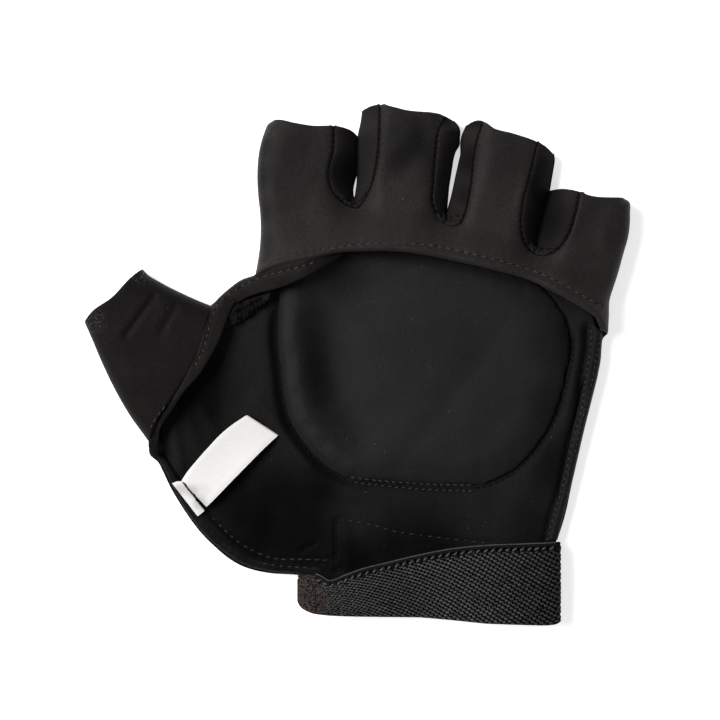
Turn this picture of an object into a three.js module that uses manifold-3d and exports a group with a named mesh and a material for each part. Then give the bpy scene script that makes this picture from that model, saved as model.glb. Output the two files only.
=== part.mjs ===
// A left-hand field hockey glove with half fingers and an open palm, lying on its back.
// Millimetres. +X runs to the little-finger side, +Y to the fingertips, +Z up out of the palm.
// Each row of a table is one edge point, section or fold, with its size in millimetres.

import * as THREE from 'three';
import { mergeVertices } from 'three/addons/utils/BufferGeometryUtils.js';
import Module from 'manifold-3d';

const wasm = await Module();
wasm.setup();

// Main sizes

const clothWall = 1.6; // one layer of the palm-side cloth with its knitted backing
const hemWall = 2.4; // the same cloth turned over once along a hem
const backWall = 1.8; // padded cloth of the back
const liningWall = 1.2;
const facingWall = 1.2;
const gap = 0.3; // left between pieces that touch
const seamRoom = 0.25; // what each side of a sewn seam is drawn back, seen along the cloth
const sideHeight = 4.6; // height of the seam between the back and the palm side
const fingerRise = 8.2; // crown of a finger tube above that seam
const hemRise = 12.6; // crown of the palm-side cloth at the middle of its arched hem
const thumbRise = 7.6;
const fingerRound = 13; // distance from a tube's side over which its top rounds up
const hemRound = 23; // the same at the hem

// The back, its sides turned up like a tray: how far in from the outline, how high, and how steep

const traySections = [
  { inset: 0.0, height: 1.0, lean: 0.0 },
  { inset: 0.5, height: 0.48, lean: 0.45 },
  { inset: 1.8, height: 0.13, lean: 0.85 },
  { inset: 4.5, height: 0.0, lean: 1.0 },
];

// Finger tubes: each side seen from above, at the mouth, halfway and at the crotch

const fingers = [
  {
    name: 'index',
    left: [[-29.6, 79.4], [-31.8, 64.0], [-31.4, 50.0]],
    right: [[0.1, 75.0], [-0.9, 64.5], [-1.0, 54.3]],
  },
  {
    name: 'middle',
    left: [[1.3, 84.4], [0.5, 68.0], [-1.0, 54.3]],
    right: [[33.0, 78.8], [30.9, 65.0], [29.2, 49.7]],
  },
  {
    name: 'ring',
    left: [[34.4, 79.2], [32.8, 65.0], [29.2, 49.7]],
    right: [[64.5, 68.7], [62.5, 54.5], [58.8, 39.0]],
  },
  {
    name: 'little',
    left: [[64.6, 56.4], [63.1, 49.0], [58.8, 39.0]],
    right: [[88.2, 53.2], [86.7, 40.0], [84.6, 31.0]],
  },
];

// The outline's corner between the little finger and the hem's right end

const littleCorner = [83.4, 24.0];

// The arched palm hem, left to right

const hemLine = [
  [-33.1, 29.4], [-21.8, 32.8], [-6.5, 36.1], [4.2, 36.8], [15.3, 36.4],
  [34.1, 33.0], [55.2, 27.0], [71.8, 18.9], [81.0, 11.6],
];
const hemSteps = 64; // samples of its smooth curve
const hemSplits = [-33.1, -1.5, 28.0, 57.0, 81.0]; // where each finger's share of the hem starts and ends

// Share of a finger's width at each column of cloth; the gusset seams run down the fourth and eighth

const fingerColumns = [0, 0.035, 0.11, 0.23, 0.37, 0.5, 0.63, 0.77, 0.89, 0.965, 1];
const leftSeamColumn = 3;
const rightSeamColumn = 7;
const seamShare = fingerColumns[leftSeamColumn];

// Rows of cloth cells: down a finger from its mouth at 0 to the crotch at 1, then on to the hem at 2.
// seam is the share of a finger's width that the gusset covers there, so that its end is round.

const clothRows = [
  { at: 0.0, seam: 0.22 },
  { at: 0.25, seam: 0.24 },
  { at: 0.5, seam: 0.26 },
  { at: 0.75, seam: 0.24 },
  { at: 0.92, seam: 0.17 },
  { at: 1.0, seam: 0.12 },
  { at: 1.17, seam: 0.05 },
  { at: 1.42, seam: 0.12 },
  { at: 1.7, seam: 0.2 },
  { at: 1.88, seam: 0.23 },
  { at: 2.0, seam: 0.23 },
];
const gussetRows = 6; // rows of cells from the mouth that a gusset takes in
const hemRows = 2; // rows of cells that the turned hem thickens
const tubeShares = clothRows.filter((row) => row.at <= 1).map((row) => row.at);

// The thumb tube, seen from above, each side from the mouth to the palm

const thumb = {
  upper: [[-69.9, 31.3], [-64.7, 27.3], [-53.6, 21.8], [-47.3, 19.0]],
  lower: [[-88.2, 14.3], [-82.2, 0.7], [-74.6, -13.0], [-68.0, -24.4]],
  fold: [[-47.3, 19.0], [-49.4, 10.7], [-51.4, 3.9], [-54.3, -1.6], [-59.8, -10.4], [-68.0, -24.4]],
};
const thumbColumns = 12;
const thumbRows = 9;

// Creases pressed into the thumb: from and to, half width and depth

const thumbCreases = [
  { from: [-64.0, 22.0], to: [-75.0, 9.0], width: 2.6, depth: 1.0 },
  { from: [-58.0, 19.5], to: [-62.0, 12.0], width: 2.6, depth: 0.8 },
];
const creaseStart = 6; // distance from the tube's sides at which a crease has its full depth

// The rest of the back's outline, from the hem's right end round the wrist to the web.
// rise is the share of the side seam's height that the edge turns up to.

const rightEdge = [
  { x: 80.4, y: 8.6, rise: 1.0 },
  { x: 79.2, y: 4.0, rise: 1.0 },
  { x: 77.6, y: -3.6, rise: 1.0 },
  { x: 73.8, y: -19.5, rise: 0.9 },
  { x: 69.9, y: -37.0, rise: 0.8 },
  { x: 66.4, y: -52.0, rise: 0.6 },
  { x: 64.4, y: -58.0, rise: 0.4 },
  { x: 63.4, y: -66.0, rise: 0.3 },
];
const wristCorners = [
  { x: 62.6, y: -88.0, rise: 0.3 },
  { x: -8.0, y: -88.0, rise: 0.3 },
];
const lowerLeftEdge = [
  { x: -8.2, y: -72.0, rise: 0.3 },
  { x: -10.2, y: -68.9, rise: 0.3 },
  { x: -20.2, y: -67.9, rise: 0.3 },
  { x: -29.0, y: -67.2, rise: 0.3 },
  { x: -35.5, y: -65.4, rise: 0.3 },
  { x: -41.5, y: -62.4, rise: 0.3 },
  { x: -47.0, y: -57.6, rise: 0.3 },
  { x: -51.8, y: -52.2, rise: 0.3 },
  { x: -56.4, y: -46.0, rise: 0.3 },
  { x: -60.4, y: -39.4, rise: 0.3 },
  { x: -63.6, y: -32.6, rise: 0.3 },
  { x: -66.2, y: -28.0, rise: 0.4 },
];
const webEdge = [
  { x: -45.0, y: 21.6, rise: 1.0 },
  { x: -41.3, y: 24.7, rise: 1.0 },
  { x: -38.0, y: 27.1, rise: 1.0 },
];

// The back's wrist end, stepped up over the elastic: one row across it at each section

const wristEndRows = [
  { y: -49.8, left: -10.4, right: 66.9, foot: 0.0 },
  { y: -52.0, left: -10.4, right: 66.4, foot: 0.0 },
  { y: -56.8, left: -10.4, right: 64.6, foot: 1.5 },
  { y: -58.2, left: -10.2, right: 58.4, foot: 1.9 },
  { y: -66.0, left: -9.0, right: 58.0, foot: 1.9 },
  { y: -76.0, left: -8.2, right: 57.6, foot: 1.9 },
];

// The raised pad: its outline clockwise from the top left

const padOutline = [
  [-25.2, 26.0], [-20.5, 33.5], [-10.0, 38.5], [6.0, 40.8], [24.0, 40.2], [41.0, 36.0],
  [54.0, 30.2], [62.6, 23.4], [68.4, 15.0], [70.2, 7.0], [68.9, -1.8], [64.4, -17.6],
  [57.9, -28.2], [50.1, -35.6], [41.0, -39.4], [28.0, -40.2], [8.1, -38.8], [-2.6, -37.0],
  [-10.4, -32.8], [-17.2, -26.0], [-22.4, -18.0], [-24.6, -9.4], [-26.0, 2.0], [-26.2, 14.0],
];
const padCentre = [22, 0];

// Sections of the pad from its foot over the rolled edge and the dip to the crown:
// inset is from the outline towards the centre, height is above the back's floor

const padSections = [
  { inset: 0.0, height: 0.0 },
  { inset: 0.0, height: 1.9 },
  { inset: 1.2, height: 4.2 },
  { inset: 3.6, height: 5.2 },
  { inset: 6.5, height: 4.7 },
  { inset: 13.0, height: 5.2 },
  { inset: 24.0, height: 5.9 },
];
const padCrown = 6.2;
const padCrownReach = 3.0; // radius of the flat spot in the middle
const padRollInset = 5.0; // the rolled edge, where no crease runs
const padCreases = [
  { from: [44, 6], to: [18, -34], width: 5.0, depth: 0.7 },
  { from: [20, 4], to: [8, -16], width: 5.0, depth: 0.5 },
];
const roundSteps = 60; // steps round the pad and the lining
const outlineSteps = 6; // samples between two points of their outlines
const wristStep = 2.0; // how far the lining rises over the wrist end of the back
const wristStepStart = -46;
const wristStepLength = 10;

// The lining: its outer edge, tucked under the finger cloth, the thumb and the rolled edges

const liningOutline = [
  [-24.0, 41.0], [-10.0, 45.5], [10.0, 46.2], [30.0, 42.0], [50.0, 34.0], [66.0, 26.0],
  [75.0, 14.5], [73.2, 4.0], [71.6, -5.0], [68.4, -19.0], [64.4, -37.0], [60.6, -53.0],
  [56.4, -64.0], [55.4, -73.5], [30.0, -74.0], [0.0, -74.0], [-4.0, -66.5], [-14.0, -63.2],
  [-27.0, -62.6], [-37.0, -59.2], [-45.0, -52.6], [-52.2, -43.8], [-57.6, -34.6], [-61.4, -25.0],
  [-60.8, -14.0], [-55.0, 3.0], [-48.8, 13.4], [-40.0, 18.6], [-30.8, 22.6], [-26.0, 32.0],
];
const liningRings = [0, 0.07, 0.25, 0.5, 0.75, 0.93, 1]; // shares of the way from the pad to the edge

// Soft folds of the lining: the line that each runs along, half width and height

const liningFolds = [
  { from: [-32.5, 16], to: [-30.5, -16], width: 4.6, height: 1.7 },
  { from: [-29.0, -22], to: [-13.0, -40], width: 4.8, height: 1.5 },
  { from: [-56.0, -16], to: [-44.0, -22], width: 4.0, height: 1.5 },
  { from: [-46.0, -34], to: [-34.0, -48], width: 7.5, height: 1.6 },
  { from: [10.0, -48], to: [52.0, -50], width: 7.0, height: 1.2 },
  { from: [-18.0, -60], to: [-13.0, -57], width: 2.6, height: 1.2 },
];

// Facings, left of the palm: fold is the edge that lies against the hem, edge the free one

const facingBow = 0.4; // how much a strip bows up between its edges
const fingerFacingRows = [
  { fold: [-43.4, 22.4, 7.4], edge: [-37.6, 19.2, 6.2] },
  { fold: [-39.6, 25.2, 7.8], edge: [-34.6, 21.9, 6.2] },
  { fold: [-35.6, 27.4, 8.2], edge: [-30.9, 23.6, 6.6] },
  { fold: [-31.2, 28.7, 8.6], edge: [-26.7, 24.7, 7.2] },
  { fold: [-26.0, 30.1, 10.0], edge: [-22.6, 26.0, 8.6] },
  { fold: [-20.6, 31.8, 11.4], edge: [-18.2, 27.8, 9.8] },
  { fold: [-15.0, 33.4, 12.4], edge: [-13.7, 30.2, 11.0] },
  { fold: [-9.6, 34.6, 13.2], edge: [-9.0, 32.8, 12.4] },
];
const thumbFacingRows = [
  { fold: [-46.0, 19.2, 7.4], edge: [-41.2, 19.4, 6.2] },
  { fold: [-47.6, 14.6, 8.4], edge: [-42.9, 14.4, 6.8] },
  { fold: [-48.8, 9.8, 9.6], edge: [-44.6, 9.4, 7.6] },
  { fold: [-50.4, 4.8, 10.4], edge: [-46.4, 4.6, 8.2] },
  { fold: [-52.8, -0.4, 10.8], edge: [-49.4, -0.6, 8.8] },
  { fold: [-55.8, -5.8, 10.6], edge: [-53.2, -6.2, 9.0] },
  { fold: [-59.2, -11.4, 9.8], edge: [-57.2, -11.8, 8.6] },
  { fold: [-62.8, -17.4, 8.4], edge: [-61.2, -17.8, 7.4] },
  { fold: [-65.8, -22.6, 6.8], edge: [-64.4, -23.0, 6.2] },
];

// Seam allowance at the web, crumpled: across it from the facing to its overlocked edge

const allowanceRows = [
  { top: [-39.8, 18.0, 6.0], low: [-40.4, 12.9, 5.0] },
  { top: [-37.2, 18.4, 5.4], low: [-38.2, 13.8, 5.6] },
  { top: [-34.6, 20.0, 5.8], low: [-35.8, 15.8, 5.0] },
  { top: [-32.0, 21.4, 5.4], low: [-33.0, 17.8, 5.6] },
  { top: [-29.4, 22.6, 6.0], low: [-29.8, 20.4, 5.2] },
];

// The rolled edge from the thumb to the wrist: centre line, width and top of the roll

const bindingRows = [
  { x: -64.4, y: -28.0, width: 2.6, top: 5.4 },
  { x: -61.9, y: -31.8, width: 3.6, top: 5.6 },
  { x: -58.6, y: -38.4, width: 4.0, top: 5.8 },
  { x: -54.6, y: -44.9, width: 4.2, top: 6.0 },
  { x: -50.1, y: -50.9, width: 4.2, top: 6.0 },
  { x: -45.5, y: -56.1, width: 4.2, top: 6.0 },
  { x: -40.3, y: -60.6, width: 4.2, top: 6.0 },
  { x: -34.7, y: -63.4, width: 4.2, top: 6.0 },
  { x: -28.6, y: -65.1, width: 4.2, top: 6.0 },
  { x: -20.0, y: -65.9, width: 4.2, top: 5.8 },
  { x: -11.4, y: -66.8, width: 4.0, top: 5.4 },
];
const bindingSides = 10;
const bindingFoot = 2.9; // underside of the roll, just clear of the turned-up edge

// The side turned over to the palm: outline point, seam point and the height of its crown

const sideRows = [
  { out: [80.1, 10.0], seam: [75.3, 14.0], crown: 8.2 },
  { out: [79.8, 6.4], seam: [75.8, 7.6], crown: 8.4 },
  { out: [78.8, 1.4], seam: [74.6, 2.2], crown: 8.4 },
  { out: [77.6, -3.6], seam: [73.2, -3.4], crown: 8.2 },
  { out: [75.7, -11.6], seam: [71.8, -12.2], crown: 8.0 },
  { out: [73.8, -19.5], seam: [69.8, -20.6], crown: 7.8 },
  { out: [71.8, -28.4], seam: [67.8, -30.0], crown: 7.4 },
  { out: [69.9, -37.0], seam: [65.8, -38.4], crown: 7.0 },
  { out: [68.2, -44.6], seam: [64.0, -46.0], crown: 6.6 },
  { out: [66.4, -52.0], seam: [61.8, -53.4], crown: 6.0 },
  { out: [65.4, -55.2], seam: [60.8, -56.4], crown: 5.6 },
];

// The elastic wrist band, left to right: upper and lower edge of its front and of its back layer

const bandRows = [
  { x: -18.6, frontTop: -69.8, backTop: -69.8, bottom: -77.4, lift: 0.0 },
  { x: -17.8, frontTop: -69.6, backTop: -69.4, bottom: -79.2, lift: 0.45 },
  { x: -14.0, frontTop: -69.8, backTop: -69.8, bottom: -80.8, lift: 0.8 },
  { x: -9.1, frontTop: -70.0, backTop: -69.8, bottom: -81.2, lift: 0.99 },
  { x: -1.0, frontTop: -67.4, backTop: -64.0, bottom: -81.5, lift: 1.0 },
  { x: 9.0, frontTop: -64.2, backTop: -61.0, bottom: -81.6, lift: 1.0 },
  { x: 20.5, frontTop: -61.4, backTop: -59.8, bottom: -81.7, lift: 1.0 },
  { x: 31.0, frontTop: -59.5, backTop: -59.2, bottom: -82.8, lift: 1.0 },
  { x: 42.0, frontTop: -58.4, backTop: -58.9, bottom: -83.8, lift: 1.0 },
  { x: 54.0, frontTop: -57.9, backTop: -58.7, bottom: -84.3, lift: 1.0 },
  { x: 61.0, frontTop: -57.6, backTop: -58.6, bottom: -84.4, lift: 0.97 },
  { x: 64.8, frontTop: -57.5, backTop: -57.5, bottom: -84.2, lift: 0.65 },
  { x: 66.0, frontTop: -57.4, backTop: -57.4, bottom: -83.6, lift: 0.0 },
];
const bandWall = 1.5;
const bandHeight = 12.4; // outside height of the loop where it lies
const bandRowCount = 5; // rows of cells across the elastic

// The folded ribbon label: centre line from the stitched end to the free fold, with its height

const labelRows = [
  { x: -56.4, y: -44.4, z: 6.3 },
  { x: -54.6, y: -42.2, z: 6.3 },
  { x: -50.4, y: -37.6, z: 6.5 },
  { x: -45.4, y: -32.4, z: 6.4 },
  { x: -40.4, y: -27.8, z: 6.0 },
  { x: -35.6, y: -23.6, z: 5.6 },
  { x: -31.0, y: -20.0, z: 5.4 },
];
const labelWidth = 13.0;
const labelFold = 1.6; // outside thickness of the folded ribbon

// Colours and finishes

const cloths = {
  palmCloth: { color: 0x1b1918, roughness: 0.78 },
  gussetCloth: { color: 0x171514, roughness: 0.8 },
  backCloth: { color: 0x161616, roughness: 0.8 },
  liningCloth: { color: 0x151415, roughness: 0.84 },
  padCloth: { color: 0x1a191b, roughness: 0.76 },
  facingCloth: { color: 0x262322, roughness: 0.86 },
  elastic: { color: 0x1d1c1c, roughness: 0.7 },
  ribbon: { color: 0xf1efea, roughness: 0.5 },
};

// Plane helpers

const mix = (a, b, share) => a + (b - a) * share;
const mixPoint = (a, b, share) => a.map((value, axis) => mix(value, b[axis], share));

// A point on a polyline, share being the share of its number of steps
function alongLine(line, share) {
  const at = share * (line.length - 1);
  const step = Math.min(Math.floor(at), line.length - 2);
  return mixPoint(line[step], line[step + 1], at - step);
}

// A smooth curve through a line's points, sampled evenly along its points
function smoothLine(line, steps) {
  const curve = new THREE.SplineCurve(line.map(([x, y]) => new THREE.Vector2(x, y)));
  return Array.from({ length: steps + 1 }, (_, i) => curve.getPoint(i / steps).toArray());
}

function distanceToSegment(x, y, [ax, ay], [bx, by]) {
  const span = (bx - ax) ** 2 + (by - ay) ** 2;
  const along = ((x - ax) * (bx - ax) + (y - ay) * (by - ay)) / span;
  const share = THREE.MathUtils.clamp(along, 0, 1);
  return Math.hypot(x - mix(ax, bx, share), y - mix(ay, by, share));
}

function distanceToLine(x, y, line) {
  let nearest = Infinity;
  for (let i = 0; i < line.length - 1; i += 1) {
    nearest = Math.min(nearest, distanceToSegment(x, y, line[i], line[i + 1]));
  }
  return nearest;
}

// The height that soft folds or creases add at a point; each row gives its height or its depth
function foldsAt(x, y, folds) {
  let total = 0;
  for (const fold of folds) {
    const away = distanceToSegment(x, y, fold.from, fold.to) / fold.width;
    total += (fold.height ?? -fold.depth) * Math.exp(-away * away);
  }
  return total;
}

// How high a soft tube's top stands at a distance from its side
function crownAt(distance, rise, round) {
  const near = 1 - Math.min(distance / round, 1);
  return sideHeight + rise * Math.sqrt(1 - near * near);
}

// A grid of points, given by a function of two shares, whose rows and columns are cloth cells
function makeGrid(rowShares, columnShares, pointAt) {
  return rowShares.map((row) => columnShares.map((column) => pointAt(column, row)));
}

const evenShares = (steps) => Array.from({ length: steps + 1 }, (_, i) => i / steps);

// Solids from cloth cells

// Turns lists of points and of four-sided cells into a closed body with a wall.
// Each point holds its place, the way out of the cloth, the wall there and the shift off a neighbour.
function wallBody(points, cells) {
  const outer = points.map((p) => p.place.clone().add(p.shift));
  const inner = points.map((p, i) => outer[i].clone().addScaledVector(p.out, -p.wall));
  const positions = [...outer, ...inner].flatMap((p) => p.toArray());
  const triangles = [];
  const edges = new Map();
  const count = points.length;
  const addFace = (a, b, c) => triangles.push(a, b, c);
  for (const [a, b, c, d] of cells) {
    addFace(a, b, c);
    addFace(a, c, d);
    addFace(count + a, count + c, count + b);
    addFace(count + a, count + d, count + c);
    for (const [from, to] of [[a, b], [b, c], [c, d], [d, a]]) {
      const back = `${to} ${from}`;
      if (edges.has(back)) {
        edges.delete(back);
      } else {
        edges.set(`${from} ${to}`, [from, to]);
      }
    }
  }
  for (const [from, to] of edges.values()) {
    addFace(to, from, count + from);
    addFace(to, count + from, count + to);
  }
  return makeGeometry(positions, triangles);
}

function makeGeometry(positions, triangles) {
  const geometry = new THREE.BufferGeometry();
  geometry.setAttribute('position', new THREE.Float32BufferAttribute(positions, 3));
  geometry.setIndex(triangles);
  return dropUnused(geometry);
}

// The same body without the points that no triangle uses
function dropUnused(geometry) {
  const flat = geometry.toNonIndexed();
  return mergeVertices(flat, 1e-4);
}

// Which way each point of a set of cells faces, from the cells round it
function cellNormals(places, cells) {
  const normals = places.map(() => new THREE.Vector3());
  for (const [a, b, c, d] of cells) {
    const across = places[c].clone().sub(places[a]);
    const along = places[d].clone().sub(places[b]);
    const face = across.cross(along);
    for (const corner of [a, b, c, d]) {
      normals[corner].add(face);
    }
  }
  return normals.map((normal) => normal.normalize());
}

// Cloth stands upright where it meets the back's side seam
function outAtSeam(place, normal) {
  const near = 0.01;
  return place.z < sideHeight + near ? normal.clone().setZ(0).normalize() : normal;
}

// The cells of a rectangular grid, turned the other way round when flip is true
function gridCells(rows, columns, flip = false) {
  const cells = [];
  for (let r = 0; r < rows - 1; r += 1) {
    for (let c = 0; c < columns - 1; c += 1) {
      const a = r * columns + c;
      const cell = [a, a + columns, a + columns + 1, a + 1];
      cells.push(flip ? cell.reverse() : cell);
    }
  }
  return cells;
}

// A sheet with one wall from a grid of places
function gridSheet(grid, wall, flip = false) {
  const places = grid.flat();
  const cells = gridCells(grid.length, grid[0].length, flip);
  const normals = cellNormals(places, cells);
  const points = places.map((place, i) => ({
    place,
    out: outAtSeam(place, normals[i]),
    wall,
    shift: new THREE.Vector3(),
  }));
  return wallBody(points, cells);
}

// Finger cloth and gussets

const fingerEdge = (finger, side, share) => {
  const [mouth, halfway, crotch] = finger[side];
  const curve = new THREE.QuadraticBezierCurve(
    new THREE.Vector2(...mouth),
    new THREE.Vector2(...halfway.map((value, axis) => 2 * value - (mouth[axis] + crotch[axis]) / 2)),
    new THREE.Vector2(...crotch),
  );
  return curve.getPoint(share).toArray();
};

const hemCurve = smoothLine(hemLine, hemSteps);

// The point of the hem at one distance to the right
function hemAt(x) {
  const next = hemCurve.findIndex((point) => point[0] >= x);
  const to = hemCurve[Math.max(next === -1 ? hemCurve.length - 1 : next, 1)];
  const from = hemCurve[hemCurve.indexOf(to) - 1];
  return mixPoint(from, to, (x - from[0]) / (to[0] - from[0]));
}

const sideLines = fingers.flatMap((finger) => (
  ['left', 'right'].map((side) => tubeShares.map((share) => fingerEdge(finger, side, share)))
));
sideLines.push([fingerEdge(fingers[0], 'left', 1), hemLine[0]]);
sideLines.push([fingerEdge(fingers[3], 'right', 1), littleCorner, hemLine.at(-1)]);

function fingerClothPlace([x, y], handShare) {
  const distance = Math.min(...sideLines.map((line) => distanceToLine(x, y, line)));
  const rise = mix(fingerRise, hemRise, THREE.MathUtils.smoothstep(handShare, 0, 1));
  const round = mix(fingerRound, hemRound, handShare);
  return new THREE.Vector3(x, y, crownAt(distance, rise, round));
}

// A column's share of the width where the gusset seam stands at another share than the first
function gussetColumn(column, seam, number) {
  if (column <= seamShare && number > 0) {
    return column * (seam / seamShare);
  }
  if (column >= 1 - seamShare && number < fingers.length - 1) {
    return 1 - (1 - column) * (seam / seamShare);
  }
  return column;
}

// All the finger cloth as one quilt: shared crotch columns are single points
function fingerQuilt() {
  const places = [];
  const seen = new Map();
  const indexOf = (place) => {
    const key = place.toArray().map((value) => value.toFixed(3)).join(' ');
    if (!seen.has(key)) {
      seen.set(key, places.length);
      places.push(place);
    }
    return seen.get(key);
  };
  const cells = [];
  fingers.forEach((finger, number) => {
    const grid = makeGrid(clothRows, fingerColumns, (column, row) => {
      const share = gussetColumn(column, row.seam, number);
      const down = Math.min(row.at, 1);
      const onTube = mixPoint(fingerEdge(finger, 'left', down), fingerEdge(finger, 'right', down), share);
      if (row.at <= 1) {
        return indexOf(fingerClothPlace(onTube, 0));
      }
      const onHem = hemAt(mix(hemSplits[number], hemSplits[number + 1], share));
      return indexOf(fingerClothPlace(mixPoint(onTube, onHem, row.at - 1), row.at - 1));
    });
    for (let r = 0; r < clothRows.length - 1; r += 1) {
      for (let c = 0; c < fingerColumns.length - 1; c += 1) {
        const inGussetRows = r < gussetRows;
        let piece = 'finger_band';
        if (inGussetRows && c < leftSeamColumn && number > 0) {
          piece = `gusset_${fingers[number - 1].name}_${finger.name}`;
        }
        if (inGussetRows && c >= rightSeamColumn && number < fingers.length - 1) {
          piece = `gusset_${finger.name}_${fingers[number + 1].name}`;
        }
        cells.push({
          piece,
          corners: [grid[r][c], grid[r + 1][c], grid[r + 1][c + 1], grid[r][c + 1]],
          hem: r >= clothRows.length - 1 - hemRows,
        });
      }
    }
  });
  return { places, cells };
}

// One piece of a quilt, drawn back from the neighbours that it is sewn to
function quiltPiece(quilt, piece) {
  const normals = cellNormals(quilt.places, quilt.cells.map((cell) => cell.corners));
  const own = quilt.cells.filter((cell) => cell.piece === piece);
  const shared = new Set(
    quilt.cells.filter((cell) => cell.piece !== piece).flatMap((cell) => cell.corners),
  );
  const middles = new Map();
  const hemPoints = new Set();
  for (const cell of own) {
    const middle = new THREE.Vector3();
    cell.corners.forEach((corner) => middle.addScaledVector(quilt.places[corner], 1 / 4));
    for (const corner of cell.corners) {
      middles.set(corner, [...(middles.get(corner) ?? []), middle]);
      if (cell.hem) {
        hemPoints.add(corner);
      }
    }
  }
  const points = quilt.places.map((place, i) => {
    const shift = new THREE.Vector3();
    if (shared.has(i) && middles.has(i)) {
      middles.get(i).forEach((middle) => shift.add(middle.clone().sub(place)));
      shift.setLength(seamRoom);
    }
    const wall = hemPoints.has(i) ? hemWall : clothWall;
    return { place, out: outAtSeam(place, normals[i]), wall, shift };
  });
  return wallBody(points, own.map((cell) => cell.corners));
}

// The thumb

// A patch between four lines, each given as a function of its share
function patchPoint(u, v, start, end, first, last) {
  return [0, 1].map((axis) => (
    mix(start(u)[axis], end(u)[axis], v) + mix(first(v)[axis], last(v)[axis], u)
    - mix(mix(start(0)[axis], start(1)[axis], u), mix(end(0)[axis], end(1)[axis], u), v)
  ));
}

function thumbPanel() {
  const mouth = [thumb.upper[0], thumb.lower[0]];
  const sides = [smoothLine(thumb.upper, thumbRows), smoothLine(thumb.lower, thumbRows)];
  const fold = smoothLine(thumb.fold, thumbColumns);
  const grid = makeGrid(evenShares(thumbRows), roundedShares(thumbColumns), (column, row) => {
    const [x, y] = patchPoint(
      column,
      row,
      (u) => alongLine(mouth, u),
      (u) => alongLine(fold, u),
      (v) => alongLine(sides[0], v),
      (v) => alongLine(sides[1], v),
    );
    const distance = Math.min(...sides.map((side) => distanceToLine(x, y, side)));
    const crease = foldsAt(x, y, thumbCreases) * Math.min(distance / creaseStart, 1);
    return new THREE.Vector3(x, y, crownAt(distance, thumbRise, fingerRound) + crease);
  });
  return gridSheet(grid, clothWall, true);
}

// Shares from 0 to 1 that lie closer together towards both ends
function roundedShares(steps) {
  return evenShares(steps).map((share) => (1 - Math.cos(Math.PI * share)) / 2);
}

// The back

// The closed outline of the back, clockwise from the web, with the mouths drawn out past their ends
function backOutline() {
  const reach = 10; // how far a tube is drawn out before it is cut off at its mouth
  const outline = [];
  const add = ([x, y], rise = 1) => outline.push({ x, y, rise });
  const drawOut = (from, to) => {
    const share = reach / Math.hypot(to[0] - from[0], to[1] - from[1]);
    const away = [(from[1] - to[1]) * share, (to[0] - from[0]) * share];
    [from, to].forEach(([x, y]) => add([x + away[0], y + away[1]]));
  };
  fingers.forEach((finger, number) => {
    const up = [...tubeShares].reverse();
    up.forEach((share, i) => {
      if (i > 0 || number === 0) {
        add(fingerEdge(finger, 'left', share));
      }
    });
    drawOut(finger.left[0], finger.right[0]);
    tubeShares.forEach((share) => add(fingerEdge(finger, 'right', share)));
  });
  add(littleCorner);
  add(hemLine.at(-1));
  rightEdge.forEach((row) => outline.push(row));
  wristCorners.forEach((row) => outline.push(row));
  lowerLeftEdge.forEach((row) => outline.push(row));
  [...thumb.lower].reverse().forEach((point) => add(point));
  drawOut(thumb.lower[0], thumb.upper[0]);
  thumb.upper.forEach((point) => add(point));
  webEdge.forEach((row) => outline.push(row));
  add(hemLine[0]);
  return outline;
}

// The way in from each point of a clockwise outline, long enough that both edges move in by one
function inwardWays(outline) {
  const leastStretch = 0.6; // keeps it short at a sharp crotch
  const count = outline.length;
  return outline.map((point, i) => {
    const before = outline[(i + count - 1) % count];
    const after = outline[(i + 1) % count];
    const first = new THREE.Vector2(point.x - before.x, point.y - before.y).normalize();
    const second = new THREE.Vector2(after.x - point.x, after.y - point.y).normalize();
    const way = new THREE.Vector2(first.y + second.y, -first.x - second.x).normalize();
    const stretch = way.x * first.y - way.y * first.x;
    return way.divideScalar(Math.max(stretch, leastStretch));
  });
}

function backShell() {
  const outline = backOutline();
  const ways = inwardWays(outline);
  const outerLoops = traySections.map((section) => outline.map((point, i) => [
    point.x + ways[i].x * section.inset,
    point.y + ways[i].y * section.inset,
    (sideHeight - gap) * point.rise * section.height,
  ]));
  const turnedWall = backWall * 0.95; // a little thinner where it is turned up
  const innerLoops = traySections.map((section) => outline.map((point, i) => {
    const sideways = point.rise * (1 - section.lean);
    const inset = section.inset + turnedWall * Math.sqrt(sideways);
    const upward = 1 - sideways;
    return [
      point.x + ways[i].x * inset,
      point.y + ways[i].y * inset,
      (sideHeight - gap) * point.rise * section.height + backWall * upward,
    ];
  }));
  const loops = [...outerLoops.reverse(), ...innerLoops];
  const tray = cutAll(loopsBody(loops), mouthCutters());
  const wristEnd = tubeBody(wristEndRows.map(({ y, left, right, foot }) => [
    [left, y, foot], [right, y, foot], [right, y, foot + backWall], [left, y, foot + backWall],
  ]));
  return geometryOf(solidOf(tray).add(solidOf(wristEnd)));
}

// A closed body from loops of points, each joined to the next, the first and last filled flat
function loopsBody(loops) {
  const count = loops[0].length;
  const positions = loops.flat().flat();
  const triangles = [];
  for (let k = 0; k < loops.length - 1; k += 1) {
    for (let i = 0; i < count; i += 1) {
      const next = (i + 1) % count;
      const [a, b] = [k * count + i, k * count + next];
      triangles.push(a, b + count, b, a, a + count, b + count);
    }
  }
  const caps = [
    { loop: loops[0], base: 0, up: false },
    { loop: loops.at(-1), base: (loops.length - 1) * count, up: true },
  ];
  for (const { loop, base, up } of caps) {
    const flat = loop.map(([x, y]) => new THREE.Vector2(x, y));
    const faces = THREE.ShapeUtils.triangulateShape(flat, []);
    const doubleArea = faces.reduce((sum, [a, b, c]) => (
      sum + flat[b].clone().sub(flat[a]).cross(flat[c].clone().sub(flat[a]))
    ), 0);
    for (const [a, b, c] of faces) {
      const face = doubleArea > 0 === up ? [a, b, c] : [a, c, b];
      triangles.push(...face.map((corner) => base + corner));
    }
  }
  return makeGeometry(positions, triangles);
}

// Blocks that cut the tubes and the wrist off square at their mouths

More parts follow.
